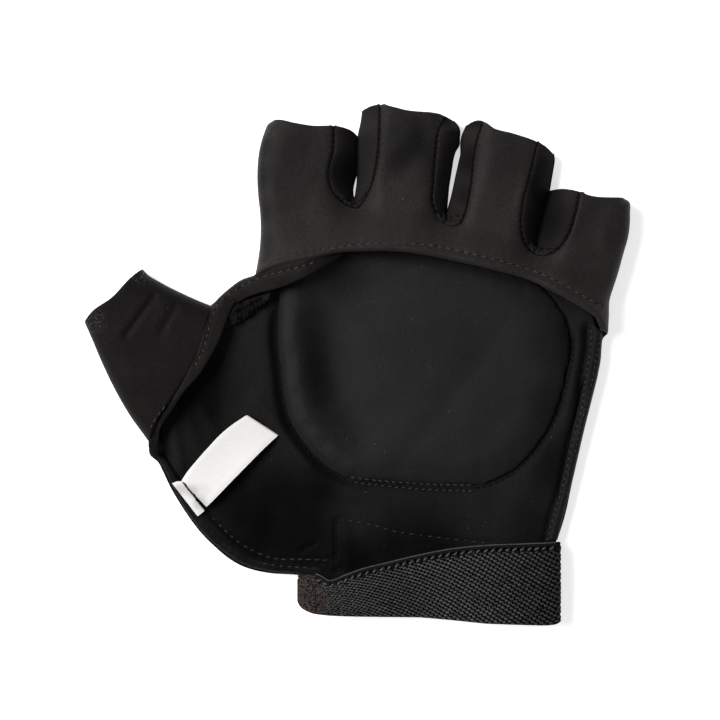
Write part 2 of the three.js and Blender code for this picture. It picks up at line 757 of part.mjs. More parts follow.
function mouthCutters() {
  const cutters = fingers.map((finger) => mouthBlock(finger.left[0], finger.right[0]));
  cutters.push(mouthBlock(thumb.lower[0], thumb.upper[0]));
  const join = 0.6; // overlap of the tray and its wrist end
  const { y, left, right } = wristEndRows[0];
  cutters.push(mouthBlock([right + 13, y - join], [left + 1.6, y - join]));
  return cutters;
}

// A block beyond the line from one side of a mouth to the other, going clockwise
function mouthBlock(from, to) {
  const depth = 60;
  const height = 30;
  const margin = 1.0; // past each side, less than the room to the next tube's outline
  const width = Math.hypot(to[0] - from[0], to[1] - from[1]);
  const block = new THREE.BoxGeometry(width + 2 * margin, depth, height);
  block.translate(0, depth / 2, 0);
  block.rotateZ(Math.atan2(to[1] - from[1], to[0] - from[0]));
  block.translate((from[0] + to[0]) / 2, (from[1] + to[1]) / 2, 0);
  return block;
}

// Joining and cutting

function solidOf(geometry) {
  const bare = geometry.clone();
  bare.deleteAttribute('normal');
  bare.deleteAttribute('uv');
  const merged = mergeVertices(bare, 1e-4);
  return new wasm.Manifold(new wasm.Mesh({
    numProp: 3,
    vertProperties: new Float32Array(merged.attributes.position.array),
    triVerts: new Uint32Array(merged.index.array),
  }));
}

function geometryOf(solid) {
  const finest = 0.01; // shorter edges are closed up
  const mesh = solid.simplify(finest).getMesh();
  return makeGeometry(Array.from(mesh.vertProperties), Array.from(mesh.triVerts));
}

function cutAll(geometry, cutters) {
  const left = cutters.reduce((solid, cutter) => solid.subtract(solidOf(cutter)), solidOf(geometry));
  return geometryOf(left);
}

// Lining and pad, both in rings round the pad's centre

const floorHeight = backWall + gap; // the back's inner face, with the gap on it

// How far a closed line lies from the pad's centre in one direction
function reachAt(line, angle) {
  const [cx, cy] = padCentre;
  const way = new THREE.Vector2(Math.cos(angle), Math.sin(angle));
  let reach = 0;
  line.forEach(([x, y], i) => {
    const [nextX, nextY] = line[(i + 1) % line.length];
    const step = new THREE.Vector2(nextX - x, nextY - y);
    const start = new THREE.Vector2(x - cx, y - cy);
    const along = way.cross(step);
    const share = -way.cross(start) / along;
    const distance = start.cross(step) / along;
    if (share >= 0 && share <= 1 && distance > reach) {
      reach = distance;
    }
  });
  return reach;
}

function smoothClosed(line) {
  const curve = new THREE.CatmullRomCurve3(line.map(([x, y]) => new THREE.Vector3(x, y, 0)), true);
  return curve.getPoints(line.length * outlineSteps).slice(0, -1).map((point) => [point.x, point.y]);
}

const padLine = smoothClosed(padOutline);
const liningLine = smoothClosed(liningOutline);
const roundAngles = Array.from({ length: roundSteps }, (_, i) => -i * 2 * Math.PI / roundSteps);

const atAngle = (angle, reach) => [
  padCentre[0] + Math.cos(angle) * reach,
  padCentre[1] + Math.sin(angle) * reach,
];

function knucklePad() {
  const loops = padSections.map((section) => roundAngles.map((angle) => {
    const [x, y] = atAngle(angle, reachAt(padLine, angle) - section.inset);
    const crease = section.inset > padRollInset ? foldsAt(x, y, padCreases) : 0;
    return [x, y, floorHeight + section.height + crease];
  }));
  const crown = roundAngles.map((angle) => [...atAngle(angle, padCrownReach), floorHeight + padCrown]);
  return loopsBody([...loops, crown]);
}

function shellLining() {
  const room = gap + 0.3; // between the pad's foot and the lining
  const columns = [...roundAngles, roundAngles[0]];
  const grid = liningRings.map((share) => columns.map((angle) => {
    const near = reachAt(padLine, angle) + room;
    const [x, y] = atAngle(angle, mix(near, reachAt(liningLine, angle), share));
    const settled = share > 0 && share < 1 ? 1 : 0; // folds leave both edges flat
    const step = wristStep * THREE.MathUtils.clamp((wristStepStart - y) / wristStepLength, 0, 1);
    const lift = foldsAt(x, y, liningFolds) * settled + step;
    return new THREE.Vector3(x, y, floorHeight + liningWall + lift);
  }));
  return ringSheet(grid, liningWall);
}

// A sheet whose rows close on themselves, its last column being its first again
function ringSheet(grid, wall) {
  const columns = grid[0].length - 1;
  const places = grid.flatMap((row) => row.slice(0, columns));
  const cells = [];
  for (let r = 0; r < grid.length - 1; r += 1) {
    for (let c = 0; c < columns; c += 1) {
      const next = (c + 1) % columns;
      cells.push([r * columns + c, r * columns + next, (r + 1) * columns + next, (r + 1) * columns + c]);
    }
  }
  const up = new THREE.Vector3(0, 0, 1);
  const points = places.map((place) => ({ place, out: up, wall, shift: new THREE.Vector3() }));
  return wallBody(points, cells);
}

// Strips along the palm's edge

// A strip from rows of two edges, bowed up between them
function strip(rows, first, last, bow) {
  const across = evenShares(3);
  const grid = rows.map((row) => across.map((share) => {
    const [x, y, z] = mixPoint(row[first], row[last], share);
    return new THREE.Vector3(x, y, z + bow * 4 * share * (1 - share));
  }));
  return gridSheet(grid, facingWall);
}

function edgeBinding() {
  const loops = bindingRows.map((row, i) => {
    const before = bindingRows[Math.max(i - 1, 0)];
    const after = bindingRows[Math.min(i + 1, bindingRows.length - 1)];
    const along = new THREE.Vector2(after.x - before.x, after.y - before.y).normalize();
    return Array.from({ length: bindingSides }, (_, side) => {
      const angle = (side / bindingSides) * 2 * Math.PI;
      const across = Math.cos(angle) * row.width / 2;
      const height = (row.top - bindingFoot) / 2;
      return [
        row.x - along.y * across,
        row.y + along.x * across,
        bindingFoot + height + Math.sin(angle) * height,
      ];
    });
  });
  return tubeBody(loops);
}

// A solid tube through loops of points, with fans over both ends
function tubeBody(loops) {
  const count = loops[0].length;
  const positions = loops.flat().flat();
  const triangles = [];
  for (let k = 0; k < loops.length - 1; k += 1) {
    for (let i = 0; i < count; i += 1) {
      const [a, b] = [k * count + i, k * count + (i + 1) % count];
      triangles.push(a, b, b + count, a, b + count, a + count);
    }
  }
  const last = (loops.length - 1) * count;
  for (let i = 1; i < count - 1; i += 1) {
    triangles.push(0, i + 1, i);
    triangles.push(last, last + i, last + i + 1);
  }
  return makeGeometry(positions, triangles);
}

function sideEdge() {
  const shares = [0, 0.06, 0.25, 0.6, 1];
  const crownShare = 0.7; // where across the strip its crown lies
  const drop = 0.8; // from the crown down to the seam
  const grid = sideRows.map((row) => shares.map((share) => {
    const [x, y] = mixPoint(row.out, row.seam, share);
    const near = 1 - Math.min(share / crownShare, 1);
    const past = Math.max(share - crownShare, 0) / (1 - crownShare);
    const z = sideHeight + (row.crown - sideHeight) * Math.sqrt(1 - near * near);
    return new THREE.Vector3(x, y, z - drop * past);
  }));
  return gridSheet(grid, clothWall);
}

// The wrist band

function wristBand() {
  const half = (bandHeight - bandWall) / 2;
  const middle = bandHeight / 2;
  const front = bandRows.map((row) => ({ ...row, side: 1, top: row.frontTop }));
  const back = bandRows.slice(1, -1).reverse().map((row) => ({ ...row, side: -1, top: row.backTop }));
  const ring = [...front, ...back];
  const outward = ring.map((row, i) => {
    const before = ring[(i + ring.length - 1) % ring.length];
    const after = ring[(i + 1) % ring.length];
    const dx = after.x - before.x;
    const dz = (after.side * after.lift - before.side * before.lift) * half;
    return new THREE.Vector3(-dz, 0, dx).normalize();
  });
  const places = [];
  const points = [];
  for (const share of evenShares(bandRowCount)) {
    ring.forEach((row, i) => {
      const z = middle + row.side * row.lift * half;
      const place = new THREE.Vector3(row.x, mix(row.top, row.bottom, share), z);
      places.push(place.addScaledVector(outward[i], bandWall / 2));
      points.push({ place, out: outward[i], wall: bandWall, shift: new THREE.Vector3() });
    });
  }
  const cells = [];
  for (let r = 0; r < bandRowCount; r += 1) {
    for (let c = 0; c < ring.length; c += 1) {
      const a = r * ring.length + c;
      const b = r * ring.length + (c + 1) % ring.length;
      cells.push([a, a + ring.length, b + ring.length, b]);
    }
  }
  return wallBody(points, cells);
}

// The label

function sizeLabel() {
  const loops = labelRows.map((row, i) => {
    const before = labelRows[Math.max(i - 1, 0)];
    const after = labelRows[Math.min(i + 1, labelRows.length - 1)];
    const along = new THREE.Vector2(after.x - before.x, after.y - before.y).normalize();
    const corners = [[-1, 0], [1, 0], [1, labelFold], [-1, labelFold]];
    return corners.map(([side, up]) => [
      row.x - along.y * side * labelWidth / 2,
      row.y + along.x * side * labelWidth / 2,
      row.z + up,
    ]);
  });
  return tubeBody(loops);
}

// The glove

const glove = new THREE.Group();

function addPiece(name, geometry, cloth) {
  geometry.computeVertexNormals();
  const material = new THREE.MeshStandardMaterial({ ...cloth, metalness: 0 });
  const mesh = new THREE.Mesh(geometry, material);
  mesh.name = name;
  glove.add(mesh);
}

const quilt = fingerQuilt();

addPiece('back_shell', backShell(), cloths.backCloth);
addPiece('shell_lining', shellLining(), cloths.liningCloth);
addPiece('knuckle_pad', knucklePad(), cloths.padCloth);
addPiece('finger_band', quiltPiece(quilt, 'finger_band'), cloths.palmCloth);
addPiece('gusset_index_middle', quiltPiece(quilt, 'gusset_index_middle'), cloths.gussetCloth);
addPiece('gusset_middle_ring', quiltPiece(quilt, 'gusset_middle_ring'), cloths.gussetCloth);
addPiece('gusset_ring_little', quiltPiece(quilt, 'gusset_ring_little'), cloths.gussetCloth);
addPiece('thumb_panel', thumbPanel(), cloths.palmCloth);
addPiece('finger_facing', strip(fingerFacingRows, 'fold', 'edge', facingBow), cloths.facingCloth);
addPiece('thumb_facing', strip(thumbFacingRows, 'fold', 'edge', facingBow), cloths.facingCloth);
addPiece('web_allowance', strip(allowanceRows, 'top', 'low', facingBow), cloths.facingCloth);
addPiece('edge_binding', edgeBinding(), cloths.backCloth);
addPiece('side_edge', sideEdge(), cloths.backCloth);
addPiece('wrist_band', wristBand(), cloths.elastic);
addPiece('size_label', sizeLabel(), cloths.ribbon);

// The middle of the glove's underside is the origin

const extent = new THREE.Box3().setFromObject(glove);
const centre = extent.getCenter(new THREE.Vector3());
glove.children.forEach((mesh) => mesh.geometry.translate(-centre.x, -centre.y, -extent.min.z));

export default glove;
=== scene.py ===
# Left-hand field hockey glove with half fingers and an open palm, lying on its back.
# Tables are in millimetres, seen from above: x to the little finger, y to the fingertips.

import bpy
import math
import numpy as np
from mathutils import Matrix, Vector
from mathutils.geometry import delaunay_2d_cdt


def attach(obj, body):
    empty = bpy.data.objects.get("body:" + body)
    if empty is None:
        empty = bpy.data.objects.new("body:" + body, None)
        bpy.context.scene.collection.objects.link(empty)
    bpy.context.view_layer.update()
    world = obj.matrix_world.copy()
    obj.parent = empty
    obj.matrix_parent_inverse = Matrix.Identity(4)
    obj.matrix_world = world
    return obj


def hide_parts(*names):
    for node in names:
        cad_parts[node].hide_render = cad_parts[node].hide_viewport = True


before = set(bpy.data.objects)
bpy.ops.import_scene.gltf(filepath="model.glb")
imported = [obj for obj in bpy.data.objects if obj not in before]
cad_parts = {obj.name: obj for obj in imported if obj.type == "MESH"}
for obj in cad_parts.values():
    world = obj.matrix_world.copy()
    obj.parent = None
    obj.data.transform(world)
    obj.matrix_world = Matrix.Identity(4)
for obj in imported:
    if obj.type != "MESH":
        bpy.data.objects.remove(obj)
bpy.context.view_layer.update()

mm = 0.001
sideHeight = 4.6  # the side seams between the back and the palm side
random = np.random.default_rng(12)

# lines and distances


def lengthsAlong(line):
    return np.concatenate([[0], np.cumsum(np.linalg.norm(np.diff(line, axis=0), axis=1))])


def evenly(line, step):
    line = np.array(line, float)
    run = lengthsAlong(line)
    at = np.linspace(0, run[-1], max(2, int(round(run[-1] / step)) + 1))
    return np.column_stack([np.interp(at, run, line[:, axis]) for axis in range(line.shape[1])])


# a smooth line through points, sampled evenly
def flowing(points, step=1):
    p = np.array(points, float)
    gaps = np.diff(lengthsAlong(p))[:, None]
    slopes = np.diff(p, axis=0) / gaps
    inner = (slopes[:-1] * gaps[1:] + slopes[1:] * gaps[:-1]) / (gaps[1:] + gaps[:-1])
    tangents = np.vstack([slopes[:1], inner, slopes[-1:]])
    t = np.linspace(0, 1, 9)[:-1, None]
    parts = []
    for i, h in enumerate(gaps):
        parts.append(p[i] * (2 * t**3 - 3 * t**2 + 1) + tangents[i] * h * (t**3 - 2 * t**2 + t)
                     + p[i + 1] * (3 * t**2 - 2 * t**3) + tangents[i + 1] * h * (t**3 - t**2))
    return evenly(np.vstack(parts + [p[-1:]]), step)


# how far points are from a line, how far along it that is, and on which side
def nearLine(points, line):
    away = np.full(len(points), np.inf)
    along, side = np.zeros((2, len(points)))
    for a, b, start in zip(line[:-1], line[1:], lengthsAlong(line)[:-1]):
        step = b - a
        size = max(float(np.hypot(*step)), 1e-9)
        rel = points - a
        t = np.clip(rel @ step / size**2, 0, 1)
        dist = np.hypot(rel[:, 0] - t * step[0], rel[:, 1] - t * step[1])
        closer = dist < away
        away[closer] = dist[closer]
        along[closer] = start + t[closer] * size
        side[closer] = np.sign(step[0] * rel[closer, 1] - step[1] * rel[closer, 0])
    return away, along, side


def gapTo(points, line):
    return nearLine(points, line)[0]


def isInside(points, ring):
    inside = np.zeros(len(points), bool)
    x, y = points.T
    for (ax, ay), (bx, by) in zip(ring, np.roll(ring, -1, axis=0)):
        if ay != by:
            inside ^= ((ay > y) != (by > y)) & (x < (bx - ax) * (y - ay) / (by - ay) + ax)
    return inside


# one closed outline, counter-clockwise, from lines laid end to end
def ringOf(*lines, step=0.7):
    nearest = 0.25 * step  # points closer than this count as one
    points = []
    for line in lines:
        for p in evenly(line, step):
            if not points or np.hypot(*(p - points[-1])) > nearest:
                points.append(p)
    if np.hypot(*(points[0] - points[-1])) < nearest:
        points.pop()
    ring = np.array(points)
    x, y = ring.T
    return ring[::-1] if np.sum(x * np.roll(y, -1) - np.roll(x, -1) * y) < 0 else ring


# the part of a line between its points nearest to two places
def cut(line, near, far):
    first, last = (int(np.argmin(np.hypot(*(line - np.array(place)).T))) for place in (near, far))
    return line[first:last + 1] if first <= last else line[last:first + 1][::-1]


# heights over the plan


# smooth wandering values from -1 to 1 over the plan, the same each run
def waver(points, size, seed):
    rng = np.random.default_rng(seed)
    total = np.zeros(len(points))
    waves = 9
    for i in range(waves):
        turn = rng.uniform(0, 2 * math.pi)
        pace = 2 * math.pi / (size * rng.uniform(0.7, 1.8))
        total += np.sin(points[:, 0] * math.cos(turn) * pace + points[:, 1] * math.sin(turn) * pace
                        + rng.uniform(0, 2 * math.pi))
    return total / (waves / 2)


def smoothStep(value, low, high):
    t = np.clip((value - low) / (high - low), 0, 1)
    return t * t * (3 - 2 * t)


def hump(distance, width):
    return np.exp(-(distance / width) ** 2)


# rises steeply from 0 and levels out at 1
def rounded(share, curve=2):
    return (1 - (1 - np.clip(share, 0, 1)) ** curve) ** (1 / curve)


# the distance to the nearest of a few lines, blended where two are as near
def softLeast(points, lines, blend=1.4):
    distances = np.stack([gapTo(points, line) for line in lines])
    return np.maximum(-blend * np.log(np.exp(-distances / blend).sum(axis=0)), 0)


# a smooth curve of heights over distances
def curveAt(values, distances, heights):
    line = flowing(list(zip(distances, heights)), 0.15)
    return np.interp(values, line[:, 0], line[:, 1])


# soft folds: each row is from, to, half width, height (a dip where it is below zero)
def foldsAt(points, folds):
    total = np.zeros(len(points))
    for start, end, width, height in folds:
        line = flowing([start, ((start[0] + end[0]) / 2, (start[1] + end[1]) / 2), end], 4)
        total += height * hump(gapTo(points, line), width)
    return total


# the groove and the puckers that a row of stitches pulls into the cloth
def sewnAt(points, line, groove=0.4, width=0.7, pucker=0.1, pitch=2.4, reach=2):
    away, along = nearLine(points, line)[:2]
    ripple = np.cos(2 * math.pi * along / pitch) * hump(away, reach)
    return -groove * hump(away, width) + pucker * ripple


# meshes


def unit(vectors):
    return vectors / np.maximum(np.linalg.norm(vectors, axis=-1, keepdims=True), 1e-12)


rimWidth = 1e-4  # points nearer to the outline than this are its rim
steepest = 0.12  # the least level share that a steep edge is rounded by


def shadeSmooth(mesh):
    mesh.polygons.foreach_set("use_smooth", np.ones(len(mesh.polygons), bool))
    mesh.update()


def meshFrom(name, places, faces, cloth):
    mesh = bpy.data.meshes.new(name)
    mesh.from_pydata((np.array(places) * mm).tolist(), [], [list(map(int, f)) for f in faces])
    mesh.validate()
    shadeSmooth(mesh)
    mesh.materials.append(cloth)
    piece = bpy.data.objects.new(name, mesh)
    bpy.context.scene.collection.objects.link(piece)
    return piece


# triangles over the plan inside an outline, with rows of points that follow its edge
def fillPlan(ring, step, rows):
    apart = 0.93  # row points closer to another part of the edge than this share of their depth are left out
    rowPitch = step * 0.866  # the height of an even triangle
    closed = np.vstack([ring, ring[:1]])
    along = np.roll(ring, -1, axis=0) - np.roll(ring, 1, axis=0)
    inward = unit(np.column_stack([-along[:, 1], along[:, 0]]))
    points = [ring]
    for depth in rows:
        row = ring + inward * depth
        points.append(row[isInside(row, ring) & (gapTo(row, closed) > apart * depth)])
    low, high = ring.min(axis=0), ring.max(axis=0)
    grid = []
    for number, y in enumerate(np.arange(low[1], high[1], rowPitch)):
        x = np.arange(low[0] + step * 0.5 * (number % 2), high[0], step)
        grid.append(np.column_stack([x, np.full(len(x), y)]))
    grid = np.vstack(grid)
    grid = grid[isInside(grid, ring)]
    points.append(grid[gapTo(grid, closed) > rows[-1] + 0.5 * step])
    order = list(range(len(ring)))
    flat = [Vector(p) for p in np.vstack(points).tolist()]
    out = delaunay_2d_cdt(flat, list(zip(order, order[1:] + order[:1])), [order], 1, 1e-6, False)
    flat = np.array([tuple(v) for v in out[0]])
    faces = np.array([f for f in out[2] if len(f) == 3])
    faces = faces[isInside(flat[faces].mean(axis=1), ring)]
    a, b, c = (flat[faces[:, i]] for i in range(3))
    turned = (b[:, 0] - a[:, 0]) * (c[:, 1] - a[:, 1]) < (b[:, 1] - a[:, 1]) * (c[:, 0] - a[:, 0])
    faces[turned] = faces[turned][:, ::-1]
    return flat, faces, gapTo(flat, closed)


def normalsOf(places, faces):
    a, b, c = (places[faces[:, i]] for i in range(3))
    across = np.cross(b - a, c - a)
    normals = np.zeros_like(places)
    for i in range(3):
        np.add.at(normals, faces[:, i], across)
    return unit(normals)


# a near and a far surface, closed where they share their rim
def closedBody(name, near, far, faces, rim, cloth):
    below = np.arange(len(near))
    below[~rim] = len(near) + np.arange((~rim).sum())
    return meshFrom(name, np.vstack([near, far[~rim]]), np.vstack([faces, below[faces][:, ::-1]]), cloth)


# a closed piece of cloth over an outline, with rounded edges; outerAt is the face that shows, and the
# wall goes inward from it (down from an upper face, up from a lower one)
def clothBody(name, ring, outerAt, wall, cloth, step=0.9, rows=(0.06, 0.25, 0.6, 1.2, 2.1), inward=-1):
    flat, faces, away = fillPlan(ring, step, rows)
    outer = np.column_stack([flat, outerAt(flat)])
    normals = normalsOf(outer, faces) * inward
    thick = wall(flat) if callable(wall) else np.full(len(flat), float(wall))
    flatness = np.abs(normals[:, 2])
    rounding = rounded(away / np.maximum(flatness, steepest) / (thick / 2))
    rim = away < rimWidth
    rounding[rim] = 0
    showing = outer.copy()
    showing[:, 2] += inward * thick / 2 * (1 - rounding) * flatness
    hidden = outer + normals * (thick / 2 * (1 + rounding))[:, None]
    return closedBody(name, showing, hidden, faces[:, ::-inward], rim, cloth)


# a closed body between an upper surface and a level foot that meet at the outline
def pillowBody(name, ring, topAt, foot, cloth, step, rows):
    flat, faces, away = fillPlan(ring, step, rows)
    rim = away < rimWidth
    top, bottom = topAt(flat, away), np.full(len(flat), foot)
    top[rim] = bottom[rim] = (top[rim] + foot) / 2
    return closedBody(name, np.column_stack([flat, top]), np.column_stack([flat, bottom]), faces, rim, cloth)


# a tube along a line in space, its section given as radii sideways and upwards
def tubeAlong(line, across, upward, sides=10):
    line = np.array(line, float)
    ahead = unit(np.gradient(line, axis=0))
    sideways = unit(np.cross([0, 0, 1], ahead))
    upwards = np.cross(ahead, sideways)
    across, upward = (np.broadcast_to(size, len(line))[:, None] for size in (across, upward))
    rings = [line + sideways * across * math.cos(angle) + upwards * upward * math.sin(angle)
             for angle in np.linspace(0, 2 * math.pi, sides, endpoint=False)]
    last = (len(line) - 1) * sides
    faces = []
    for start in range(0, last, sides):
        for i in range(sides):
            a, b = start + i, start + (i + 1) % sides
            faces.append((a, b, b + sides, a + sides))
    faces += [tuple(range(sides))[::-1], tuple(range(last, last + sides))]
    return np.stack(rings, axis=1).reshape(-1, 3), faces


# many small bodies joined as one mesh
def joined(name, bodies, cloth):
    places, faces, start = [], [], 0
    for bodyPlaces, bodyFaces in bodies:
        places.append(bodyPlaces)
        faces += [tuple(i + start for i in face) for face in bodyFaces]
        start += len(bodyPlaces)
    return meshFrom(name, np.vstack(places), faces, cloth)


# every piece lies on the one body; a piece that stands for a node of the frame names it
def declare(piece, slot, node=None):
    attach(piece, "root")
    if node:
        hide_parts(node)


def declareCloth(piece, node, slot, flat, area, held, restsOn, **more):
    declare(piece, slot, node)


# stitches


# surfaces for stitches: one a little above another, and a level one
def above(surface, rise):
    return lambda points: surface(points) + rise


def level(height):
    return lambda points: np.full(len(points), height)


threadSize = {"pitch": 2.8, "long": 2, "thick": 0.42, "slant": 6, "sunk": 0.14, "uneven": 0.14, "hole": 0.56,
              "arch": 0.55, "flat": 0.8, "turn": 5,
              # along one stitch: places from end to end, and how full the thread is there
              "places": [-0.5, -0.42, -0.2, 0, 0.2, 0.42, 0.5], "full": [0.15, 0.62, 0.95, 1, 0.95, 0.62, 0.15],
              # across the painted shade of one needle hole: how high it lies and how wide it is
              "holeHigh": [0.04, 0.07, 0.04], "holeWide": [0.4, 1, 0.4], "holeThick": 0.05}


# one row of stitches on a surface, each a short piece of thread pulled in at both ends; dark bodies
# painted as the shade of the needle holes at those ends go to a list of their own
def stitchRow(line, topAt, holeShades=None, **changes):
    look = {**threadSize, **changes}
    line = evenly(flowing(line, 0.4), 0.2)
    run = lengthsAlong(line)
    shares = np.array(look["places"])
    arch = look["thick"] * look["arch"] * np.sqrt(np.maximum(1 - (2 * shares) ** 2, 0)) - look["sunk"]
    radius = look["thick"] / 2 * np.array(look["full"])
    stitches = []
    at = look["pitch"] * 0.5
    while at < run[-1]:
        jitter = random.uniform(-1, 1, 4)
        before, middle, after = (np.array([np.interp(at + d, run, line[:, k]) for k in (0, 1)])
                                 for d in (-0.4, 0, 0.4))
        ahead = after - before
        turn = math.atan2(ahead[1], ahead[0]) + math.radians(look["slant"] + look["turn"] * jitter[0])
        size = look["long"] * (1 + look["uneven"] * jitter[1])
        stitches.append(middle + shares[:, None] * np.array([math.cos(turn), math.sin(turn)]) * size)
        at += look["pitch"] * (1 + look["uneven"] * 0.5 * jitter[3])
    heights = topAt(np.vstack(stitches)).reshape(len(stitches), -1)
    if holeShades is not None:
        for flat, high in zip(stitches, heights):
            for end, toward in ((0, 1), (-1, -2)):
                spread = (flat[end] - flat[toward]) * 1.6
                middle = np.array([flat[end] - spread, flat[end], flat[end] + spread * 1.4])
                holeHigh = high[end] + np.array(look["holeHigh"])
                radii = look["hole"] / 2 * np.array(look["holeWide"])
                holeShades.append(tubeAlong(np.column_stack([middle, holeHigh]), radii, look["holeThick"], 6))
    return [tubeAlong(np.column_stack(both), radius, radius * look["flat"], 6)
            for both in zip(stitches, heights + arch)]


# finishes


# another node's output is linked to an input, anything else is set as its value
def feed(node, inputs):
    for name, value in inputs.items():
        socket = node.inputs[name]
        if isinstance(value, bpy.types.NodeSocket):
            node.id_data.links.new(value, socket)
        else:
            socket.default_value = (*value, 1) if socket.type == "RGBA" else value


# beaded ribs of the elastic from its own map: rib number across, bead number along
def ribPattern(look, add, calc, ramp, place, fine):
    ribMap = add("SeparateXYZ", {"Vector": add("UVMap", {}, uv_map="ribs").outputs["UV"]}).outputs
    x = add("SeparateXYZ", {"Vector": place}).outputs["X"]
    loose = ramp(x, *look["looseAlong"])
    rib = ribMap["X"]
    bead = calc("FRACT", calc("ADD", ribMap["Y"], calc("MULTIPLY", calc("FLOOR", rib), 0.5)))
    step = calc("MULTIPLY", calc("SUBTRACT", bead, 0.5), look["slant"])
    rib = calc("ADD", calc("ADD", rib, step), calc("MULTIPLY", calc("SUBTRACT", fine, 0.5), loose))
    gap, notch = (calc("MULTIPLY", calc("ABSOLUTE", calc("SUBTRACT", share, 0.5)), 2)
                  for share in (calc("FRACT", rib), bead))
    beadHigh = calc("SUBTRACT", 1, calc("MULTIPLY", calc("POWER", notch, 4), look["notch"]))
    ribHigh = ramp(gap, *look["ribEdge"], 1, 0)
    return calc("MULTIPLY", ribHigh, beadHigh), ramp(x, *look["endAlong"])


finishShared = {"lint": (0.12, 0.116, 0.112), "paintedShadeColour": (0.0006, 0.0006, 0.0007),
                "scuff": (0.09, 0.085, 0.082), "sheenRough": 0.45, "sheenTint": (0.9, 0.86, 0.84),
                "bumpDepth": 0.00025, "driftRange": (0.35, 0.65), "tipRange": (0.3, 0.72),
                "lintChosen": (0.45, 1, 0, 0.7), "lintSize": (0.03, 0.075, 1, 0),
                "scuffGrain": 1400, "scuffRange": (0.5, 0.62), "softGrain": 0.28, "fineHigh": 0.6,
                "softHigh": 0.7}


def clothFinish(name, look):
    cloth = bpy.data.materials.new(name)
    cloth.use_nodes = True

    def add(kind, inputs, **settings):
        node = cloth.node_tree.nodes.new("ShaderNode" + kind)
        for setting, value in settings.items():
            setattr(node, setting, value)
        feed(node, inputs)
        return node

    def grain(scale, detail=2):
        return add("TexNoise", {"Vector": place, "Scale": scale, "Detail": detail}).outputs["Fac"]

    def ramp(fac, low, high, dark, light, **settings):
        ends = {"Value": fac, "From Min": low, "From Max": high, "To Min": dark, "To Max": light}
        return add("MapRange", ends, **settings).outputs["Result"]

    def mixed(fac, first, second):
        return add("Mix", {"Factor": fac, "A": first, "B": second}, data_type="RGBA").outputs["Result"]

    def calc(kind, *values):
        return add("Math", dict(enumerate(values)), operation=kind).outputs["Value"]

    def spot(x, y, reach, most):  # a soft round place, from most in its middle to nothing
        gap = add("VectorMath", {0: flatPlace, 1: (x * mm, y * mm, 0)}, operation="DISTANCE").outputs["Value"]
        return ramp(gap, reach * 0.2 * mm, reach * mm, most, 0, interpolation_type="SMOOTHSTEP")

    place = add("TexCoord", {}).outputs["Object"]
    flatPlace = add("VectorMath", {0: place, 1: (1, 1, 0)}, operation="MULTIPLY").outputs["Vector"]
    # broad colour drift, then the grain of the knit, then lint, then painted shade: soft round patches darkened
    # where the glove lies in shade
    drift = ramp(grain(look.get("drift", 40), 3), *finishShared["driftRange"], 0, 1)
    colour = mixed(drift, look["dark"], look["light"])
    fine = grain(look["grain"])
    colour = mixed(ramp(fine, *finishShared["tipRange"], 0, 1), colour, look["tips"])
    cells = add("TexVoronoi", {"Vector": place, "Scale": look.get("lint", 330)}).outputs
    cellShade = add("SeparateColor", {"Color": cells["Color"]}).outputs["Red"]
    chosen = ramp(cellShade, *finishShared["lintChosen"])
    lint = calc("MULTIPLY", ramp(cells["Distance"], *finishShared["lintSize"]), chosen)
    colour = mixed(lint, colour, finishShared["lint"])
    for patch in look.get("paintedShade", []):
        colour = mixed(spot(*patch), colour, finishShared["paintedShadeColour"])
    for patch in look.get("worn", []):
        scuffed = calc("MULTIPLY", spot(*patch),
                       ramp(grain(finishShared["scuffGrain"], 3), *finishShared["scuffRange"], 0, 1))
        colour = mixed(scuffed, colour, finishShared["scuff"])
    # the surface: thread grain over a softer unevenness
    soft = grain(look["grain"] * finishShared["softGrain"])
    relief = calc("ADD", calc("MULTIPLY", fine, finishShared["fineHigh"]),
                  calc("MULTIPLY", soft, finishShared["softHigh"]))
    if look.get("gap"):
        high, atEnd = ribPattern(look, add, calc, ramp, place, fine)
        # the gaps between the elastic's ribs are painted near-black as their shade
        colour = mixed(high, look["gap"], colour)
        colour = mixed(atEnd, colour, mixed(ramp(fine, 0.42, 0.6, 0, 1), look["endDark"], look["endLight"]))
        relief = calc("ADD", calc("MULTIPLY", relief, 0.4), calc("MULTIPLY", high, 2))
    if look.get("rib"):
        turned = add("Mapping", {"Vector": place, "Rotation": (0, 0, math.radians(look["ribTurn"]))})
        wave = add("TexWave", {"Vector": turned.outputs["Vector"], "Scale": look["rib"], "Distortion": 0.6})
        relief = calc("ADD", relief, calc("MULTIPLY", wave.outputs["Fac"], look["ribDepth"]))
    bump = add("Bump", {"Height": relief, "Strength": look["relief"], "Distance": finishShared["bumpDepth"]})
    feed(cloth.node_tree.nodes["Principled BSDF"], {
        "Base Color": colour, "Normal": bump.outputs["Normal"], "Roughness": look["rough"],
        "Specular IOR Level": look["gleam"], "Sheen Weight": look["fuzz"],
        "Sheen Roughness": finishShared["sheenRough"], "Sheen Tint": finishShared["sheenTint"]})
    return cloth
